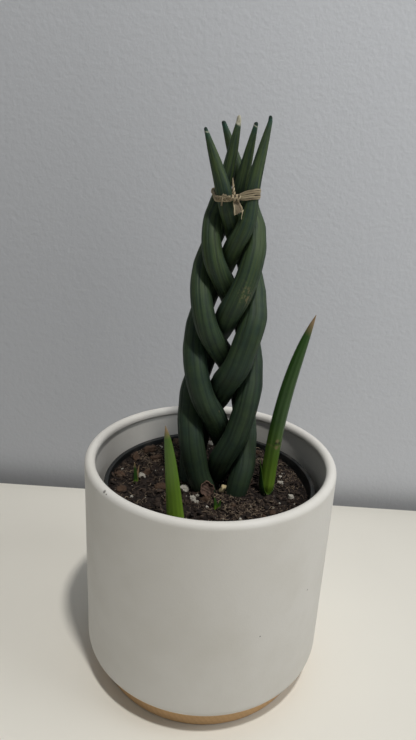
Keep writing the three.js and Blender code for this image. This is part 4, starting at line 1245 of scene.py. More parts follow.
def shoot_right_shape():
    """The young round leaf: rings with shallow flutes along a path that leans to the right, to a bristle tip."""
    tip = SHOOT_RIGHT["tip"] + 0.5
    z = mix(SHOOT_FOOT, tip, 1 - (1 - np.linspace(0, 1, 201)[:-1]) ** 1.5)
    angle = angles(72)
    radius = 0.22 + SHOOT_RIGHT["radius"] * (1 - np.exp((z - SHOOT_RIGHT["tip"]) / 20))
    radius = np.maximum(radius, 0.12) * mix(0.45, 1, smoothstep(z, 124, 136))
    flutes = 0.022 * (1 - np.cos(9 * angle + 0.6)) * smoothstep(tip - z, 4, 30)[:, None]
    channel = 0.05 * bell(wrapped(angle - 4.4), 0.35) + 0 * z[:, None]
    above_scar = z[:, None] - SHOOT_SCAR_Z - 1.2 * np.sin(angle)
    rings = radius[:, None] * (1.01 - flutes - channel - 0.02 * bell(above_scar, 0.5))
    along = shoot_right_path(z + 1) - shoot_right_path(z - 1)
    points = carried(shoot_right_path(z), round_sections(rings, 72), along)
    masks = straight_masks(points, radius, SOIL_LEVEL, tip, z)
    # furrow: the depth of the flutes and the channel, the mask of the painted shade in them.
    masks["furrow"] = with_poles(flutes * 12 + channel * 8)
    masks["scar"] = with_poles(bell(above_scar, 0.35) * smoothstep(-np.sin(angle), 0.2, 0.7))
    return capped(points), masks


# The sheath: the height of its foot and of its rim at the front, how much higher the rim is behind and at the left,
# its radius at the foot and above, its wall, and how far its left side leans out and forwards.
SHEATH = {"foot": 112.0, "front": 129.3, "back": 7, "left": 16.6, "narrow": 2.6, "radius": 4.95, "wall": 0.5,
          "out": 1.7, "forwards": 0.9}


def sheath_shape():
    """The split sheath round the shoot's foot. Its rim is lowest at the front, and rises as a V on both sides, by
    back t^0.6 + left l^2.6, where t grows from front to back and l towards the left, so that the left side ends in a
    point, which leans away from the shoot. The foot narrows like a bulb. The section of the wall is a closed loop:
    up the outside, over the rim and down the inside."""
    rows, columns = 48, 108
    angle = angles(columns)
    left = np.maximum(np.cos(angle - math.pi - 0.12), 0)
    back = (1 - np.cos(angle + 1.25)) / 2
    rim = SHEATH["front"] + SHEATH["back"] * back**0.6 + SHEATH["left"] * left**2.6
    loop = np.arange(rows) / rows
    outside = loop < 0.5
    climb = np.where(outside, loop / 0.5, (1 - loop) / 0.5)[:, None]
    z = mix(SHEATH["foot"], rim, climb**0.85)
    wall = np.where(outside, 0.0, -SHEATH["wall"])[:, None] * np.minimum(6 * (1 - climb) + 0.2, 1)
    share = np.clip((z - 124) / 28, 0, 1)
    radius = mix(SHEATH["narrow"], SHEATH["radius"], smoothstep(z, 124, 135)) + wall
    radius = radius + SHEATH["out"] * left**2 * share**1.7
    radius = radius * (1 - 0.012 * (1 - np.cos(16 * angle)))
    centre = shoot_right_path(z)
    lean = np.array([0, -SHEATH["forwards"], 0]) * (share * left)[..., None]
    points = centre + lean + ring_points(radius, angle, 0)
    quads, triangles = grid_faces(rows, columns, ring_of_rows=True)
    edge = np.exp(-(rim - z) / 0.5)
    straight = ring_points(5, angle, z) * MM
    masks = {
        "straight": straight.reshape(-1, 3),
        "edge": edge.ravel(),
        # left: painted shade over the sheath, the same all round, which fades out at the rim.
        "left": (0.75 * smoothstep(edge, 0.5, 0) + 0 * z).ravel(),
        "from_foot": np.full(z.size, 0.05),
        "from_tip": np.full(z.size, 0.05),
    }
    return (points.reshape(-1, 3), quads, triangles), masks


def shoot_left_shape():
    """The flattened young leaf: oval rings with a channel down the back, nearly straight, to a dry tip."""
    z = mix(SHOOT_FOOT, SHOOT_LEFT["tip"] + 0.3, 1 - (1 - np.linspace(0, 1, 151)[:-1]) ** 1.4)
    angle = angles(72)
    share = np.maximum((z - SOIL_LEVEL) / (SHOOT_LEFT["tip"] - SOIL_LEVEL), 0)

    def path(height):
        part = np.maximum((height - SOIL_LEVEL) / (SHOOT_LEFT["tip"] - SOIL_LEVEL), 0)
        x = SHOOT_LEFT["x"] + SHOOT_LEFT["slope"] * np.maximum(height - SOIL_LEVEL, 0) + SHOOT_LEFT["bend"] * part**4
        return np.stack([x, SHOOT_LEFT["y"] - 1.5 * part**2, height], -1)

    from_tip = np.maximum(SHOOT_LEFT["tip"] - np.maximum(z, SOIL_LEVEL), 0)
    buried = np.clip((SOIL_LEVEL - z) / (SOIL_LEVEL - SHOOT_FOOT), 0, 1)
    radius = (0.2 + 0.62 * np.sqrt(from_tip) * (1 - np.exp(-from_tip / 3))) * (1 - 0.3 * buried)
    channel = np.maximum(np.sin(angle), 0) ** 3
    ridges = 0.02 * (1 - np.cos(11 * angle)) * smoothstep(1 - share, 0, 0.4)[:, None]
    depth = SHOOT_LEFT["depth"] * (1 - 0.35 * channel)
    sections = round_sections(radius[:, None] * (1.01 - ridges), 72, depth)
    points = carried(path(z), sections, path(z + 1) - path(z - 1))
    masks = straight_masks(points, radius, SOIL_LEVEL, SHOOT_LEFT["tip"] + 0.3, z)
    # furrow: the grooves' depth, the mask of the painted shade in them.
    masks["furrow"] = with_poles(ridges * 14)
    return capped(points), masks


def blade_shape(x, y, top, lean, width):
    """A sprout's blade: channelled oval rings from a shared foot, leaning more the higher they are."""
    z = np.linspace(BLADE_FOOT, top + 0.2, 41)[:-1]
    share = (z - BLADE_FOOT) / (top - BLADE_FOOT)
    path = np.stack([x + lean[0] * share**2, y + lean[1] * share**2, z], -1)
    angle = angles(28)
    radius = width * (1 - share**2.4) + 0.12
    fold = 1 - 0.45 * bell(wrapped(angle - BLADE_FOLD), 0.6)
    points = carried(path, round_sections(radius[:, None] * fold, 28), np.gradient(path, axis=0))
    return capped(points), straight_masks(points, radius, SOIL_LEVEL, top + 0.2, z)


# The scar on the right shoot: x, y, z and size of its pale and its dark spots.
SHOOT_PALE = ((38.9, -15.2, 165.9, 1.5), (38.8, -15.2, 161.6, 1.6))
SHOOT_DARK = ((38.1, -15, 164.5, 1.1), (40.4, -14.6, 164.3, 1.3), (36.8, -14.6, 162.9, 0.7))


def young_leaf_material(name, settings, base_height, dry_length, band=0.25, light=0.0):
    """Light green with long streaks, faint cross bands, a yellower foot and a dry bristle."""
    material, tree = new_material(name)
    straight = attribute(tree, "straight", "Vector")
    streak = streaks(tree, straight, 800.0, 22.0, 0.35, 0.68)
    cross = streaks(tree, straight, 90.0, 420.0, 0.5, 0.68)
    grain = blotches(tree, straight, 1500.0)
    from_foot = attribute(tree, "from_foot")
    low = remap(tree, from_foot, base_height, 0.0)
    colour = tinted(tree, settings.green, streak["Mask"], 0.3, settings.shade)
    colour = blend(tree, times(tree, cross["Mask"], band), colour, settings.shade)
    colour = blend(tree, light, colour, settings.base)
    colour = tinted(tree, colour, low, 0.9, settings.base)
    # Painted shade in the flutes and grooves, by their depth.
    colour = tinted(tree, colour, attribute(tree, "furrow"), 0.22, settings.shade)
    # Painted shade over the sheath below its rim.
    colour = tinted(tree, colour, attribute(tree, "left"), 0.6, settings.shade)
    colour = tinted(tree, colour, attribute(tree, "edge"), 0.35, settings.base)
    place = place_of(tree)
    colour = tinted(tree, colour, spots(tree, place, SHOOT_PALE), 0.6, settings.bristle)
    colour = tinted(tree, colour, attribute(tree, "scar"), 0.5, settings.bristle)
    colour = tinted(tree, colour, spots(tree, place, SHOOT_DARK), 0.9, (0.02, 0.02, 0.01))
    dry = remap(tree, attribute(tree, "from_tip"), dry_length, 0.35 * dry_length)
    colour = blend(tree, dry, colour, settings.bristle)
    roughness = remap(tree, streak["Height"], 0.3, 0.7, 0.36, 0.5)
    relief = plus(tree, streak["Height"], times(tree, grain["Height"], 0.3))
    return finish_material(material, colour, roughness, relief, distance=0.00018, strength=0.6,
                           Specular_IOR_Level=0.4)


# ---------------------------------------------------------------- the dry husk


def husk_shape():
    """A shallow fibrous dish, tilted so that its hollow faces the front and upwards: r = R sin t, z = -D cos t for
    the outside, and back inside it by its wall, with ribs that run across it and a torn, uneven rim."""
    columns = 144
    angle = angles(columns)
    out = np.linspace(0, math.pi / 2, 34)[1:, None]
    tear = 1 + np.sin(out) ** 5 * (0.13 * noise_round(angle, 2, 0, 5) + 0.07 * noise_round(angle, 7, 0, 6))
    flat = HUSK["radius"] * np.sin(out) * tear * 0.98
    x, y = flat * np.cos(angle), flat * np.sin(angle)
    ribs = 0.14 * np.sin(3.4 * (y + 0.5 * x) + 1.2 * value_noise(x / 2, y / 2, 0 * x, 8))
    crumple = ribs + 0.5 * value_noise(x / 1.6, y / 1.6, 0 * x, 9)
    dish = -HUSK["dish"] * np.cos(out)
    outer = np.stack([x, y, dish - HUSK["wall"] / 2 + 0.5 * crumple], -1)
    inner = np.stack([0.92 * x, 0.92 * y, 0.92 * dish + HUSK["wall"] / 2 + crumple], -1)[::-1]
    flat_points, quads, triangles = capped(np.concatenate([outer, inner]))
    tilt = np.array(Matrix.Rotation(math.radians(HUSK["tilt"]), 3, "X"))
    placed = (flat_points * [1, 1.08, 1]) @ tilt.T + [HUSK["x"], HUSK["y"], HUSK["z"]]
    near_rim = np.sin(out) ** 14 * mix(0.35, 1, 0.5 + 0.5 * np.cos(angle - 2.6))
    rim = np.concatenate([near_rim, near_rim[::-1]])
    straight = np.stack([y + 0.5 * x, 0 * x, 3 * x], -1)
    straight = np.concatenate([straight, straight[::-1]])
    return (placed, quads, triangles), {"edge": with_poles(rim), "straight": with_poles(straight * MM)}


def husk_material(settings):
    material, tree = new_material("dry_husk")
    fibres = streaks(tree, attribute(tree, "straight", "Vector"), 1900.0, 90.0, 0.35, 0.65)
    cloud = blotches(tree, place_of(tree), 350.0, 0.4, 0.65)
    colour = blend(tree, fibres["Mask"], settings.husk, darker(settings.husk, 0.45))
    colour = tinted(tree, colour, cloud["Mask"], 0.4, settings.rim)
    colour = tinted(tree, colour, attribute(tree, "edge"), 0.8, settings.rim)
    roughness = remap(tree, fibres["Height"], 0.3, 0.7, 0.7, 0.9)
    return finish_material(material, colour, roughness, fibres["Height"], distance=0.0005, strength=0.9,
                           Specular_IOR_Level=0.25)


# ---------------------------------------------------------------- the tie


def bundle_reach(angle, height):
    """How far the bundle of leaves reaches in a direction, at a height near the tie."""
    angle, height = np.broadcast_arrays(np.asarray(angle, float), np.asarray(height, float))
    slices = np.arange(-4.5, 4.6, 0.75)
    level = height[..., None] + slices
    best = np.full(angle.shape, -np.inf)
    for turn in range(5):
        radius = leaf_radius(turn, level)
        point = leaf_point(turn, level)
        inside = np.abs(slices) < radius
        across = np.sqrt(np.where(inside, radius**2 - slices**2, 0))
        reach = point[..., 0] * np.cos(angle)[..., None] + point[..., 1] * np.sin(angle)[..., None] + across
        best = np.maximum(best, np.where(inside, reach, -np.inf).max(-1))
    return best


def bundle_outline(angle, height, grow):
    """A point of the bundle's outline, grown by a distance: the support line's foot plus its slope."""
    step = 0.02
    reach = bundle_reach(angle, height) + grow
    slope = (bundle_reach(angle + step, height) - bundle_reach(angle - step, height)) / (2 * step)
    x = reach * np.cos(angle) - slope * np.sin(angle)
    y = reach * np.sin(angle) + slope * np.cos(angle)
    return np.stack([x, y, height + 0 * angle], -1)


BAND_RISE = 1.3
BAND_SAG = 3.2


def tie_height(x, y):
    """The height of the band's middle at a place. It sags at the front, between the left side and the knot."""
    sag = (1 - smoothstep(x, -2, 18)) * (1 - smoothstep(-x, 4.8, 7.6)) * smoothstep(-y, 0, 6)
    return TIE_Z + BAND_RISE - BAND_SAG * sag


BAND_STEPS = 420
TWISTS = 22
ROPE_LIFT = 1.25
ROPE_OUT = 0.1
ROPE_SWAY = 0.35
# The strands of the band: phase of the twist, lift and distance out where they lie flat, and half width as a share.
STRANDS = ((0.0, 2.2, 0.3, 0.95), (1.3, 1.15, 0.45, 1.05), (2.5, 0.05, 0.35, 0.95), (3.8, -1.05, 0.45, 1.05),
           (5.0, -2.1, 0.3, 0.9))
KNOT = (5.1, 302.3)
# The loose ends: x and z where each starts and ends, counted from the knot, its half widths there, how far it
# stands out, its bow sideways, and how far one corner of its end hangs below the other.
TAILS = (
    ((0.2, -1.0), (2.0, -7.1), (1.4, 2.35), 1.0, -0.1, -0.45), ((0.6, -1.0), (2.4, -6.0), (1.0, 1.7), 0.5, 0.3, -0.6),
    ((-6.2, 1.8), (-7.0, -4.1), (0.5, 0.55), 0.8, -0.2, 0), ((-6.9, 1.0), (-4.7, 1.3), (0.6, 0.5), 0.9, 0.2, 0),
    ((-5.0, 0.3), (-3.0, 0.7), (0.6, 0.5), 1.0, 0.2, 0), ((4.4, -5.4), (3.7, -10.2), (0.2, 0.12), 0.9, -0.2, 0),
    ((0.6, 0.9), (2.5, 1.5), (0.8, 0.3), 1.2, 0.3, 0),
)
# The wraps of the knot: x from its middle, slant, half height and half width.
WRAPS = ((-1.9, 0.9, 1.2, 0.45), (-0.9, -0.7, 1.6, 0.5), (0.1, 0.8, 1.85, 0.5), (1.1, -0.7, 1.7, 0.5),
         (2.0, 0.5, 1.2, 0.42))


def ribbon(path, half_width, thickness, outwards, curl=0.12, closed=False, ragged=0.0, slant=0.0, core=0.0, seed=0):
    """A flat strand along a path: an oval section, wide square to the path and thin outwards, whose edges curl in.
    Its fine ribs come from a cosine across it. The masks are the place on the unbent strand, and the dark lines
    along its edges and between its ribs, or with a core its dark middle between pale edges."""
    columns = 28
    angle = angles(columns)
    if closed:
        along = unit(np.roll(path, -1, 0) - np.roll(path, 1, 0))
    else:
        along = unit(np.gradient(path, axis=0))
    outwards = unit(outwards - along * (outwards * along).sum(-1, keepdims=True))
    across = np.cross(outwards, along)
    wide = np.asarray(half_width)[:, None] * np.cos(angle)
    rib = np.cos(5 * np.pi * np.cos(angle))
    thin = (thickness / 2 + 0.25 * thickness * rib) * np.sin(angle) + 0 * wide - curl * np.cos(angle) ** 2
    points = path[:, None] + across[:, None] * wide[..., None] + outwards[:, None] * thin[..., None]
    share = np.linspace(0, 1, len(path))[:, None]
    tear = ragged * share**6 * value_noise(4 * np.cos(angle), seed, 0, seed)
    points = points + along[:, None] * (tear + slant * share**3 * np.cos(angle))[..., None]
    straight = np.stack(np.broadcast_arrays(wide, 10 * seed, reach_along(path)[:, None]), -1) * MM
    side = smoothstep(np.abs(np.cos(angle)), 0.5, 0.95)
    edges = core * (1 - side) if core else side
    lines = np.maximum(edges, 0.3 * np.clip(-rib, 0, 1)) * smoothstep(wide[:, :1], 0.2, 0.5)
    if closed:
        shape = (points.reshape(-1, 3), *grid_faces(len(path), columns, ring_of_rows=True))
        return shape, straight.reshape(-1, 3), lines.ravel()
    return capped(points), with_poles(straight), with_poles(lines)


def front_face(x, z):
    """The y of the bundle's front outline at x, at a height z."""
    angle = np.linspace(-math.pi + 0.1, -0.1, 64)
    outline = bundle_outline(angle[None], np.asarray(z)[:, None], 0)
    return np.array([np.interp(spot, row[:, 0], row[:, 1]) for spot, row in zip(x, outline)])


def evenly_round():
    """Directions whose points on the bundle's outline at the tie lie evenly spaced along it."""
    angle = angles(4000)
    outline = bundle_outline(angle, TIE_Z, 0)
    steps = np.linalg.norm(np.roll(outline, -1, 0) - outline, axis=1)
    reach = np.concatenate([[0], np.cumsum(steps)])
    return np.interp(angles(BAND_STEPS) / TURN * reach[-1], reach, np.append(angle, TURN))


def band_parts(strand, thickness):
    """The strands of the band. Round the left side to the knot they are twisted into a rope: each one is lifted by
    ROPE_LIFT cos(TWISTS t) and stands out by ROPE_OUT + ROPE_SWAY sin(TWISTS t), where t turns once along the band.
    Elsewhere they lie flat, close together at the knot, and fan out to the right."""
    angle = evenly_round()
    around = bundle_outline(angle, TIE_Z, 0)
    x, y = around[:, 0], around[:, 1]
    middle = tie_height(x, y)
    fan = mix(0.3, 1, smoothstep(x, 4, 11.5)) + 0.3 * smoothstep(y, -2, 6) * smoothstep(-x, -8, 0)
    rope = (1 - smoothstep(x, 2, 6)) * smoothstep(-y, -4, 2)
    radial = ring_points(1, angle, 0)
    parts = []
    for order, (phase, lift, out, share) in enumerate(STRANDS):
        turn = TWISTS * angles(BAND_STEPS) + phase
        wander = 0.2 * noise_round(angle, 2, 3.0 * order, 30 + order)
        rise = mix(lift * fan, ROPE_LIFT * np.cos(turn), rope)
        away = mix(out, ROPE_OUT + ROPE_SWAY * np.sin(turn), rope)
        width = strand * share * (1 + 0.15 * noise_round(angle, 2, 7.0 + order, 31))
        path = around + radial * away[:, None]
        path[:, 2] = middle + rise + wander * mix(0.4, 1, fan)
        facing = radial + [[0, 0, 1.1]] * (rope * np.cos(turn + 0.8))[:, None]
        parts.append(ribbon(path, width * mix(0.7, 1, fan), thickness, facing, closed=True, seed=order + 1))
    return parts


def knot_parts():
    """Slanting wraps round the band, each an ellipse, and a tail that rises from them, twisted of two strands."""
    knot_x, knot_z = KNOT
    front = front_face([knot_x], [knot_z])[0]
    s = np.linspace(0, TURN, 81)[:-1]
    parts = []
    for order, (x, slant, half_height, half_width) in enumerate(WRAPS):
        path = np.stack([knot_x + x + slant * np.sin(s), front - 1.35 - 1.15 * np.cos(s),
                         knot_z + half_height * np.sin(s)], -1)
        facing = np.stack([0 * s, -np.cos(s), np.sin(s)], -1)
        width = half_width + 0.12 * np.sin(3 * s + order)
        parts.append(ribbon(path, width, 0.5, facing, closed=True, seed=7 + order))
    share = np.linspace(0, 1, 60)
    x, z = knot_x - 0.7 - 1.4 * share**0.8, knot_z + mix(0.8, 9.9, share)
    y = front_face(x, z) - 0.9 - 1.1 * np.sin(share * np.pi * 0.6)
    for side in (0, math.pi):
        twist = 15 * share + side
        path = np.stack([x, y, z], -1) + ring_points(0.55 * (1 - share) ** 0.7, twist, 0)
        facing = np.stack([0.3 * np.cos(twist), -1 + 0 * share, 0 * share], -1)
        parts.append(ribbon(path, mix(0.7, 0.13, share), 0.3, facing, seed=20 + int(side)))
    return parts


def tie_parts(settings):
    """The band, the knot and the loose ends, each with its masks."""
    parts = band_parts(settings.strand / MM, settings.thickness / MM) + knot_parts()
    knot_x, knot_z = KNOT
    share = np.linspace(0, 1, 40)
    for order, (start, end, widths, out, bow, slant) in enumerate(TAILS):
        x = knot_x + mix(start[0], end[0], share) + bow * np.sin(np.pi * share)
        z = knot_z + mix(start[1], end[1], share)
        y = front_face(x, z) - 0.9 - out * np.sin(share * np.pi * 0.6)
        width = mix(widths[0], widths[1], share) * (1 + 0.08 * np.sin(9 * share + order))
        facing = np.stack([0.35 * np.sin(3 * share + order), -1 + 0 * share, 0 * share], -1)
        thick = min(0.5, 1.3 * max(widths))
        parts.append(ribbon(np.stack([x, y, z], -1), width, thick, facing, curl=0.1, ragged=0.3 * max(widths),
                            slant=slant, core=0.75 if order < 2 else 0, seed=11 + order))
    return parts


def raffia_material(settings):
    material, tree = new_material("raffia_strands")
    straight = attribute(tree, "straight", "Vector")
    fibres = streaks(tree, straight, 3000.0, 90.0, 0.35, 0.68)
    tints = blotches(tree, straight, 130.0, 0.36, 0.62, 1.0)
    colour = tinted(tree, settings.light, fibres["Mask"], 0.6, settings.dark)
    colour = tinted(tree, colour, tints["Mask"], 0.45, settings.dark)
    colour = tinted(tree, colour, attribute(tree, "lines"), 0.92, settings.shadow)
    roughness = remap(tree, fibres["Height"], 0.3, 0.7, 0.6, 0.8)
    return finish_material(material, colour, roughness, fibres["Height"], distance=0.0004, strength=0.9,
                           Specular_IOR_Level=0.3)


# ---------------------------------------------------------------- operators


class Maker(bpy.types.Operator):
    """Base of the operators. Each one makes a group of pieces from the scene's settings."""

    bl_options = {"REGISTER", "UNDO"}

    def execute(self, context):
        self.make(context.scene.snake_plant)
        return {"FINISHED"}


class MakePot(Maker):
    """Makes the white pot, the wooden base and the nursery pot"""

    bl_idname = "snake_plant.make_pot"
    bl_label = "Pot"

    def make(self, plant):
        pot = plant.pot
        add_piece("pot_glazed", pot_shape(pot), glaze_material(pot), "pot_ceramic", "pot")
        add_piece("base_wood", base_shape(pot), wood_material(pot), "wood", "wood_base")
        add_piece("nursery_liner", nursery_shape(), plastic_material(pot), "nursery_plastic", "nursery_pot")


class MakeSoil(Maker):
    """Makes the potting mix with its crumbs, fibres, bark and perlite"""

    bl_idname = "snake_plant.make_soil"
    bl_label = "Soil"

    def make(self, plant):
        soil = plant.soil
        rng = np.random.default_rng(12)
        mass, masks = soil_shape(soil)
        masks["shade"] = 0.5 + 0 * masks["rise"]
        earth = soil_material("earth", soil, soil.dark, soil.light)
        add_piece("soil_mass", mass, earth, "soil", "soil", masks=masks)
        for name, count, sizes, flatness, lift in (
            ("soil_crumbs", soil.crumbs, (0.45, 1.5), (0.5, 1.0), 0.25),
            ("soil_flakes", soil.crumbs // 5, (0.9, 2.6), (0.16, 0.3), 0.4),
        ):
            shape, shade = crumb_shapes(soil, rng, count, *sizes, flatness, lift)
            add_piece(name, shape, earth, "soil", masks={"shade": shade, "rise": LOOSE_RISE + 0 * shade})
        x, y = scattered(soil.fibres, rng, nursery_inside(SOIL_EDGE) - 5)
        spread, spread_shade = fibre_shapes(rng, x, y, (1.0, 4.0), (0.1, 0.24), (0.2, 1.3))
        near = np.concatenate([
            rng.normal(0, 1, (2, int(share * soil.fibres))) * [[wide], [deep]] + [[x], [y]]
            for x, y, wide, deep, share in TUFTS
        ], 1)
        tuft, tuft_shade = fibre_shapes(rng, *near, (0.7, 2.1), (0.14, 0.32), (0.8, 2.4))
        shade = np.concatenate([spread_shade, tuft_shade])
        straw = soil_material("fibre", soil, soil.light, soil.fibre, dotted=False)
        add_piece("soil_fibres", joined([spread, tuft]), straw, "soil",
                  masks={"shade": shade, "rise": LOOSE_RISE + 0 * shade})
        small, _ = crumb_shapes(soil, rng, SMALL_GRAINS, 0.35, 0.75, (0.7, 1.0), 0.5)
        grains = joined([lump_shapes("perlite"), small])
        full = np.ones(len(grains[0]))
        x, y, size, _ = NAMED_LUMPS[CREAM_LUMP]
        cream = np.hypot(grains[0][:, 0] - x, grains[0][:, 1] - y) < 1.3 * size
        stone = soil_material("perlite", soil, darker(soil.perlite, 0.55), soil.perlite, 1500.0, 0.0004, dotted=False)
        add_piece("perlite_grains", grains, stone, "soil", masks={"shade": full, "rise": full, "cream": full * cream})
        chips = lump_shapes("bark")
        mid = np.full(len(chips[0]), 0.6)
        bark = soil_material("bark", soil, darker(soil.bark, 0.35), soil.bark, 900.0, 0.0008, dotted=False)
        add_piece("bark_chips", chips, bark, "soil", masks={"shade": mid, "rise": mid})


class MakeLeaves(Maker):
    """Makes the five plaited leaves"""

    bl_idname = "snake_plant.make_leaves"
    bl_label = "Leaves"

    def make(self, plant):
        skin = leaf_material(plant.leaf)
        for turn in range(5):
            shape, masks = leaf_shape(turn, plant.leaf)
            add_piece(f"leaf_{turn + 1}_grooved", shape, skin, "leaf", f"leaf_{turn + 1}", masks=masks)


class MakeShoots(Maker):
    """Makes the four young shoots and the dry husk"""

    bl_idname = "snake_plant.make_shoots"
    bl_label = "Shoots"

    def make(self, plant):
        shoot = plant.shoot
        right = young_leaf_material("young_leaf_right", shoot, 0.05, 0.012)
        left = young_leaf_material("young_leaf_left", shoot, 0.055, 0.0075, band=0.1, light=0.25)
        green = young_leaf_material("sprout_green", shoot, 0.004, 0.0015)
        tipped = young_leaf_material("sprout_tipped", shoot, 0.003, 0.0045)
        dry = young_leaf_material("sprout_dry", shoot, 0.004, 0.014)
        sprout_left, sprout_front = SPROUTS.values()
        for name, (shape, masks), material, *nodes in (
            ("shoot_right_leaf", shoot_right_shape(), right, "shoot_right"),
            ("shoot_right_sheath", sheath_shape(), right),
            ("shoot_left_leaf", shoot_left_shape(), left, "shoot_left"),
            ("sprout_left_blade", blade_shape(*sprout_left, 142, (-1.2, 1), 1.5), tipped, "sprout_left"),
            ("sprout_left_dry_blade", blade_shape(*sprout_left, 139.5, (1.6, 2), 1.1), dry),
            ("sprout_front_blade", blade_shape(*sprout_front, 136.8, (-2.2, 1), 1.7), green, "sprout_front"),
            ("sprout_front_side_blade", blade_shape(*sprout_front, 136, (1.9, -0.4), 1.6), green),
        ):
            add_piece(name, shape, material, "young_leaf", *nodes, masks=masks)
        shape, masks = husk_shape()
        add_piece("husk_dish", shape, husk_material(shoot), "husk", "husk", masks=masks)


class MakeTie(Maker):
    """Makes the raffia tie with its knot and loose ends"""

    bl_idname = "snake_plant.make_tie"
    bl_label = "Tie"

    def make(self, plant):
        shapes, straight, lines = zip(*tie_parts(plant.tie))
        masks = {"straight": np.concatenate(straight), "lines": np.concatenate(lines)}
        add_piece("raffia_tie", joined(shapes), raffia_material(plant.tie), "raffia", "tie", masks=masks)


class MakeStage(Maker):
    """Makes the table, the wall, the lights and the camera"""

    bl_idname = "snake_plant.make_stage"
    bl_label = "Stage"

    def make(self, plant):
        stage = plant.stage
        make_table_and_wall(stage)
        make_lights(stage)
        make_camera()


WALL_TURN = 0.013
WALL_TOP = 2200


def make_table_and_wall(stage):
    """A table top at z = 0, and a wall that is seen only from its front."""
    wide, far = 2500.0, stage.wall_distance / MM
    square = np.array([[0, 1, 2, 3]])
    top = np.array([[-wide, -wide, 0], [wide, -wide, 0], [wide, wide, 0], [-wide, wide, 0]])
    table = make_piece("table", top, square)
    left, right = (-wide, far + WALL_TURN * wide), (wide, far - WALL_TURN * wide)
    wall = make_piece("wall", np.array([[*left, -1], [*right, -1], [*right, WALL_TOP], [*left, WALL_TOP]]), square)
    material, tree = new_material("table_top")
    place = place_of(tree)
    cloud = blotches(tree, place, 4.0, 0.3, 0.7)
    colour = blend(tree, cloud["Mask"], stage.table, darker(stage.table, 0.95))
    rightwards = add_node(tree, "ShaderNodeSeparateXYZ", {0: place}).outputs[0]
    # Painted shade: the table's colour darkens towards the right by up to 11 %.
    colour = blend(tree, remap(tree, rightwards, 0.0, 0.2, 0.0, 0.11), colour, (0, 0, 0))
    finish_material(material, colour, 0.55, cloud["Height"], distance=0.0001, Specular_IOR_Level=0.3)
    table.data.materials.append(material)
    material, tree = new_material("painted_wall")
    place = place_of(tree)
    stipple = blotches(tree, place, 240.0, detail=3.0)
    sides = add_node(tree, "ShaderNodeSeparateXYZ", {0: place}).outputs
    # Painted shadow: the wall's colour darkens towards the left by up to 17 %, less so higher up.
    left = times(tree, remap(tree, sides[0], 0.06, -0.12, 0.0, 0.17), remap(tree, sides[2], 0.22, 0.5, 1.0, 0.4))
    colour = blend(tree, left, stage.wall, (0, 0, 0))
    # Painted shade at the wall's foot: its colour darkens by up to 57 % towards the table, over about 22 mm.
    near = math_node(tree, "POWER", math_node(tree, "DIVIDE", sides[2], 0.022), 2.0)
    foot = times(tree, math_node(tree, "EXPONENT", times(tree, near, -1.0)), 0.57)
    colour = blend(tree, foot, colour, (0, 0, 0))
    finish_material(material, colour, 0.75, stipple["Height"], distance=0.0012, strength=0.35)
    front = tree.nodes["Principled BSDF"].outputs[0]
    back = add_node(tree, "ShaderNodeBsdfTransparent").outputs[0]
    side = add_node(tree, "ShaderNodeNewGeometry").outputs["Backfacing"]
    seen = add_node(tree, "ShaderNodeMixShader", {0: side, 1: front, 2: back})
    tree.links.new(seen.outputs[0], tree.nodes["Material Output"].inputs["Surface"])
    wall.data.materials.append(material)


def make_light(name, place, aim, size, power, colour):
    data = bpy.data.lights.new(name, "AREA")
    data.shape, data.size, data.energy, data.color = "DISK", size, power, colour
    light = bpy.data.objects.new(name, data)
    light.location = place
    light.rotation_euler = (Vector(aim) - Vector(place)).to_track_quat("-Z", "Y").to_euler()
    bpy.context.scene.collection.objects.link(light)


def make_lights(stage):
    """A small lamp high above, slightly right and in front, a large soft light at the right, and even light."""
    make_light("ceiling_lamp", (0.295, -0.6, 2.0), (0, 0, 0.1), 0.14, stage.lamp, (1.0, 0.98, 0.94))
    make_light("soft_right", (0.75, -0.25, 0.8), (0.05, 0.1, 0.15), 0.5, stage.fill, (0.95, 0.98, 1.0))
    world = bpy.data.worlds.new("even_light")
    world.use_nodes = True
    background = world.node_tree.nodes["Background"]
    background.inputs["Color"].default_value = (0.86, 0.93, 1.0, 1)
    background.inputs["Strength"].default_value = stage.ambient
    bpy.context.scene.world = world


FOCAL_PIXELS = 571.9
LONG_SIDE = 740
CAMERA_PLACE = (0, -0.32124, 0.31732)
YAW, PITCH, ROLL = (math.radians(a) for a in (-0.828, 19.626, 2.996))


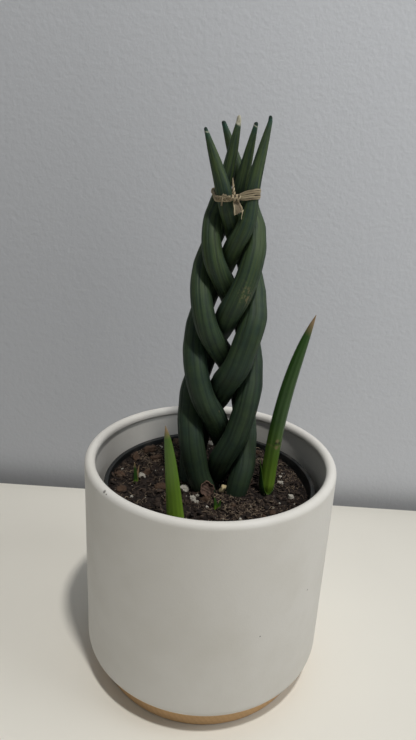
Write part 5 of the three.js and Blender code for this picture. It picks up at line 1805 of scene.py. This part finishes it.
def make_camera():
    """A camera that looks along yaw from +Y, down by pitch, and leans by roll."""
    ahead = Vector((math.sin(YAW) * math.cos(PITCH), math.cos(YAW) * math.cos(PITCH), -math.sin(PITCH)))
    level = Vector((math.cos(YAW), -math.sin(YAW), 0))
    upright = level.cross(ahead)
    right = level * math.cos(ROLL) + upright * math.sin(ROLL)
    up = upright * math.cos(ROLL) - level * math.sin(ROLL)
    data = bpy.data.cameras.new("camera")
    data.sensor_width = 36
    data.lens = 36 * FOCAL_PIXELS / LONG_SIDE
    data.clip_start = 0.01
    camera = bpy.data.objects.new("camera", data)
    camera.matrix_world = Matrix.Translation(CAMERA_PLACE) @ Matrix((right, up, -ahead)).transposed().to_4x4()
    bpy.context.scene.collection.objects.link(camera)
    bpy.context.scene.camera = camera
    bpy.context.scene.view_settings.view_transform = "Standard"


# ---------------------------------------------------------------- registration


class PlantSettings(bpy.types.PropertyGroup):
    """All settings of the plant, group by group."""

    pot: bpy.props.PointerProperty(type=PotSettings, name="Pot", description="Pot, base and nursery pot")
    soil: bpy.props.PointerProperty(type=SoilSettings, name="Soil", description="Potting mix")
    leaf: bpy.props.PointerProperty(type=LeafSettings, name="Leaves", description="Plaited leaves")
    shoot: bpy.props.PointerProperty(type=ShootSettings, name="Shoots", description="Young shoots and husk")
    tie: bpy.props.PointerProperty(type=TieSettings, name="Tie", description="Raffia tie")
    stage: bpy.props.PointerProperty(type=StageSettings, name="Stage", description="Table, wall and light")


class SNAKEPLANT_PT_maker(bpy.types.Panel):
    """Lists the makers and the settings."""

    bl_label = "Snake Plant"
    bl_idname = "SNAKEPLANT_PT_maker"
    bl_space_type = "VIEW_3D"
    bl_region_type = "UI"
    bl_category = "Snake Plant"

    def draw(self, context):
        plant = context.scene.snake_plant
        for maker, group in zip(MAKERS, ("pot", "soil", "leaf", "shoot", "tie", "stage")):
            box = self.layout.box()
            box.operator(maker.bl_idname)
            settings = getattr(plant, group)
            for key in settings.bl_rna.properties.keys():
                if key not in ("rna_type", "name"):
                    box.prop(settings, key)


MAKERS = (MakePot, MakeSoil, MakeLeaves, MakeShoots, MakeTie, MakeStage)
GROUPS = (PotSettings, SoilSettings, LeafSettings, ShootSettings, TieSettings, StageSettings, PlantSettings)


def register():
    for cls in (*GROUPS, *MAKERS, SNAKEPLANT_PT_maker):
        bpy.utils.register_class(cls)
    bpy.types.Scene.snake_plant = bpy.props.PointerProperty(type=PlantSettings)


def unregister():
    del bpy.types.Scene.snake_plant
    for cls in reversed((*GROUPS, *MAKERS, SNAKEPLANT_PT_maker)):
        bpy.utils.unregister_class(cls)


def main():
    register()
    for maker in MAKERS:
        group, name = maker.bl_idname.split(".")
        getattr(getattr(bpy.ops, group), name)()


if __name__ == "__main__":
    main()
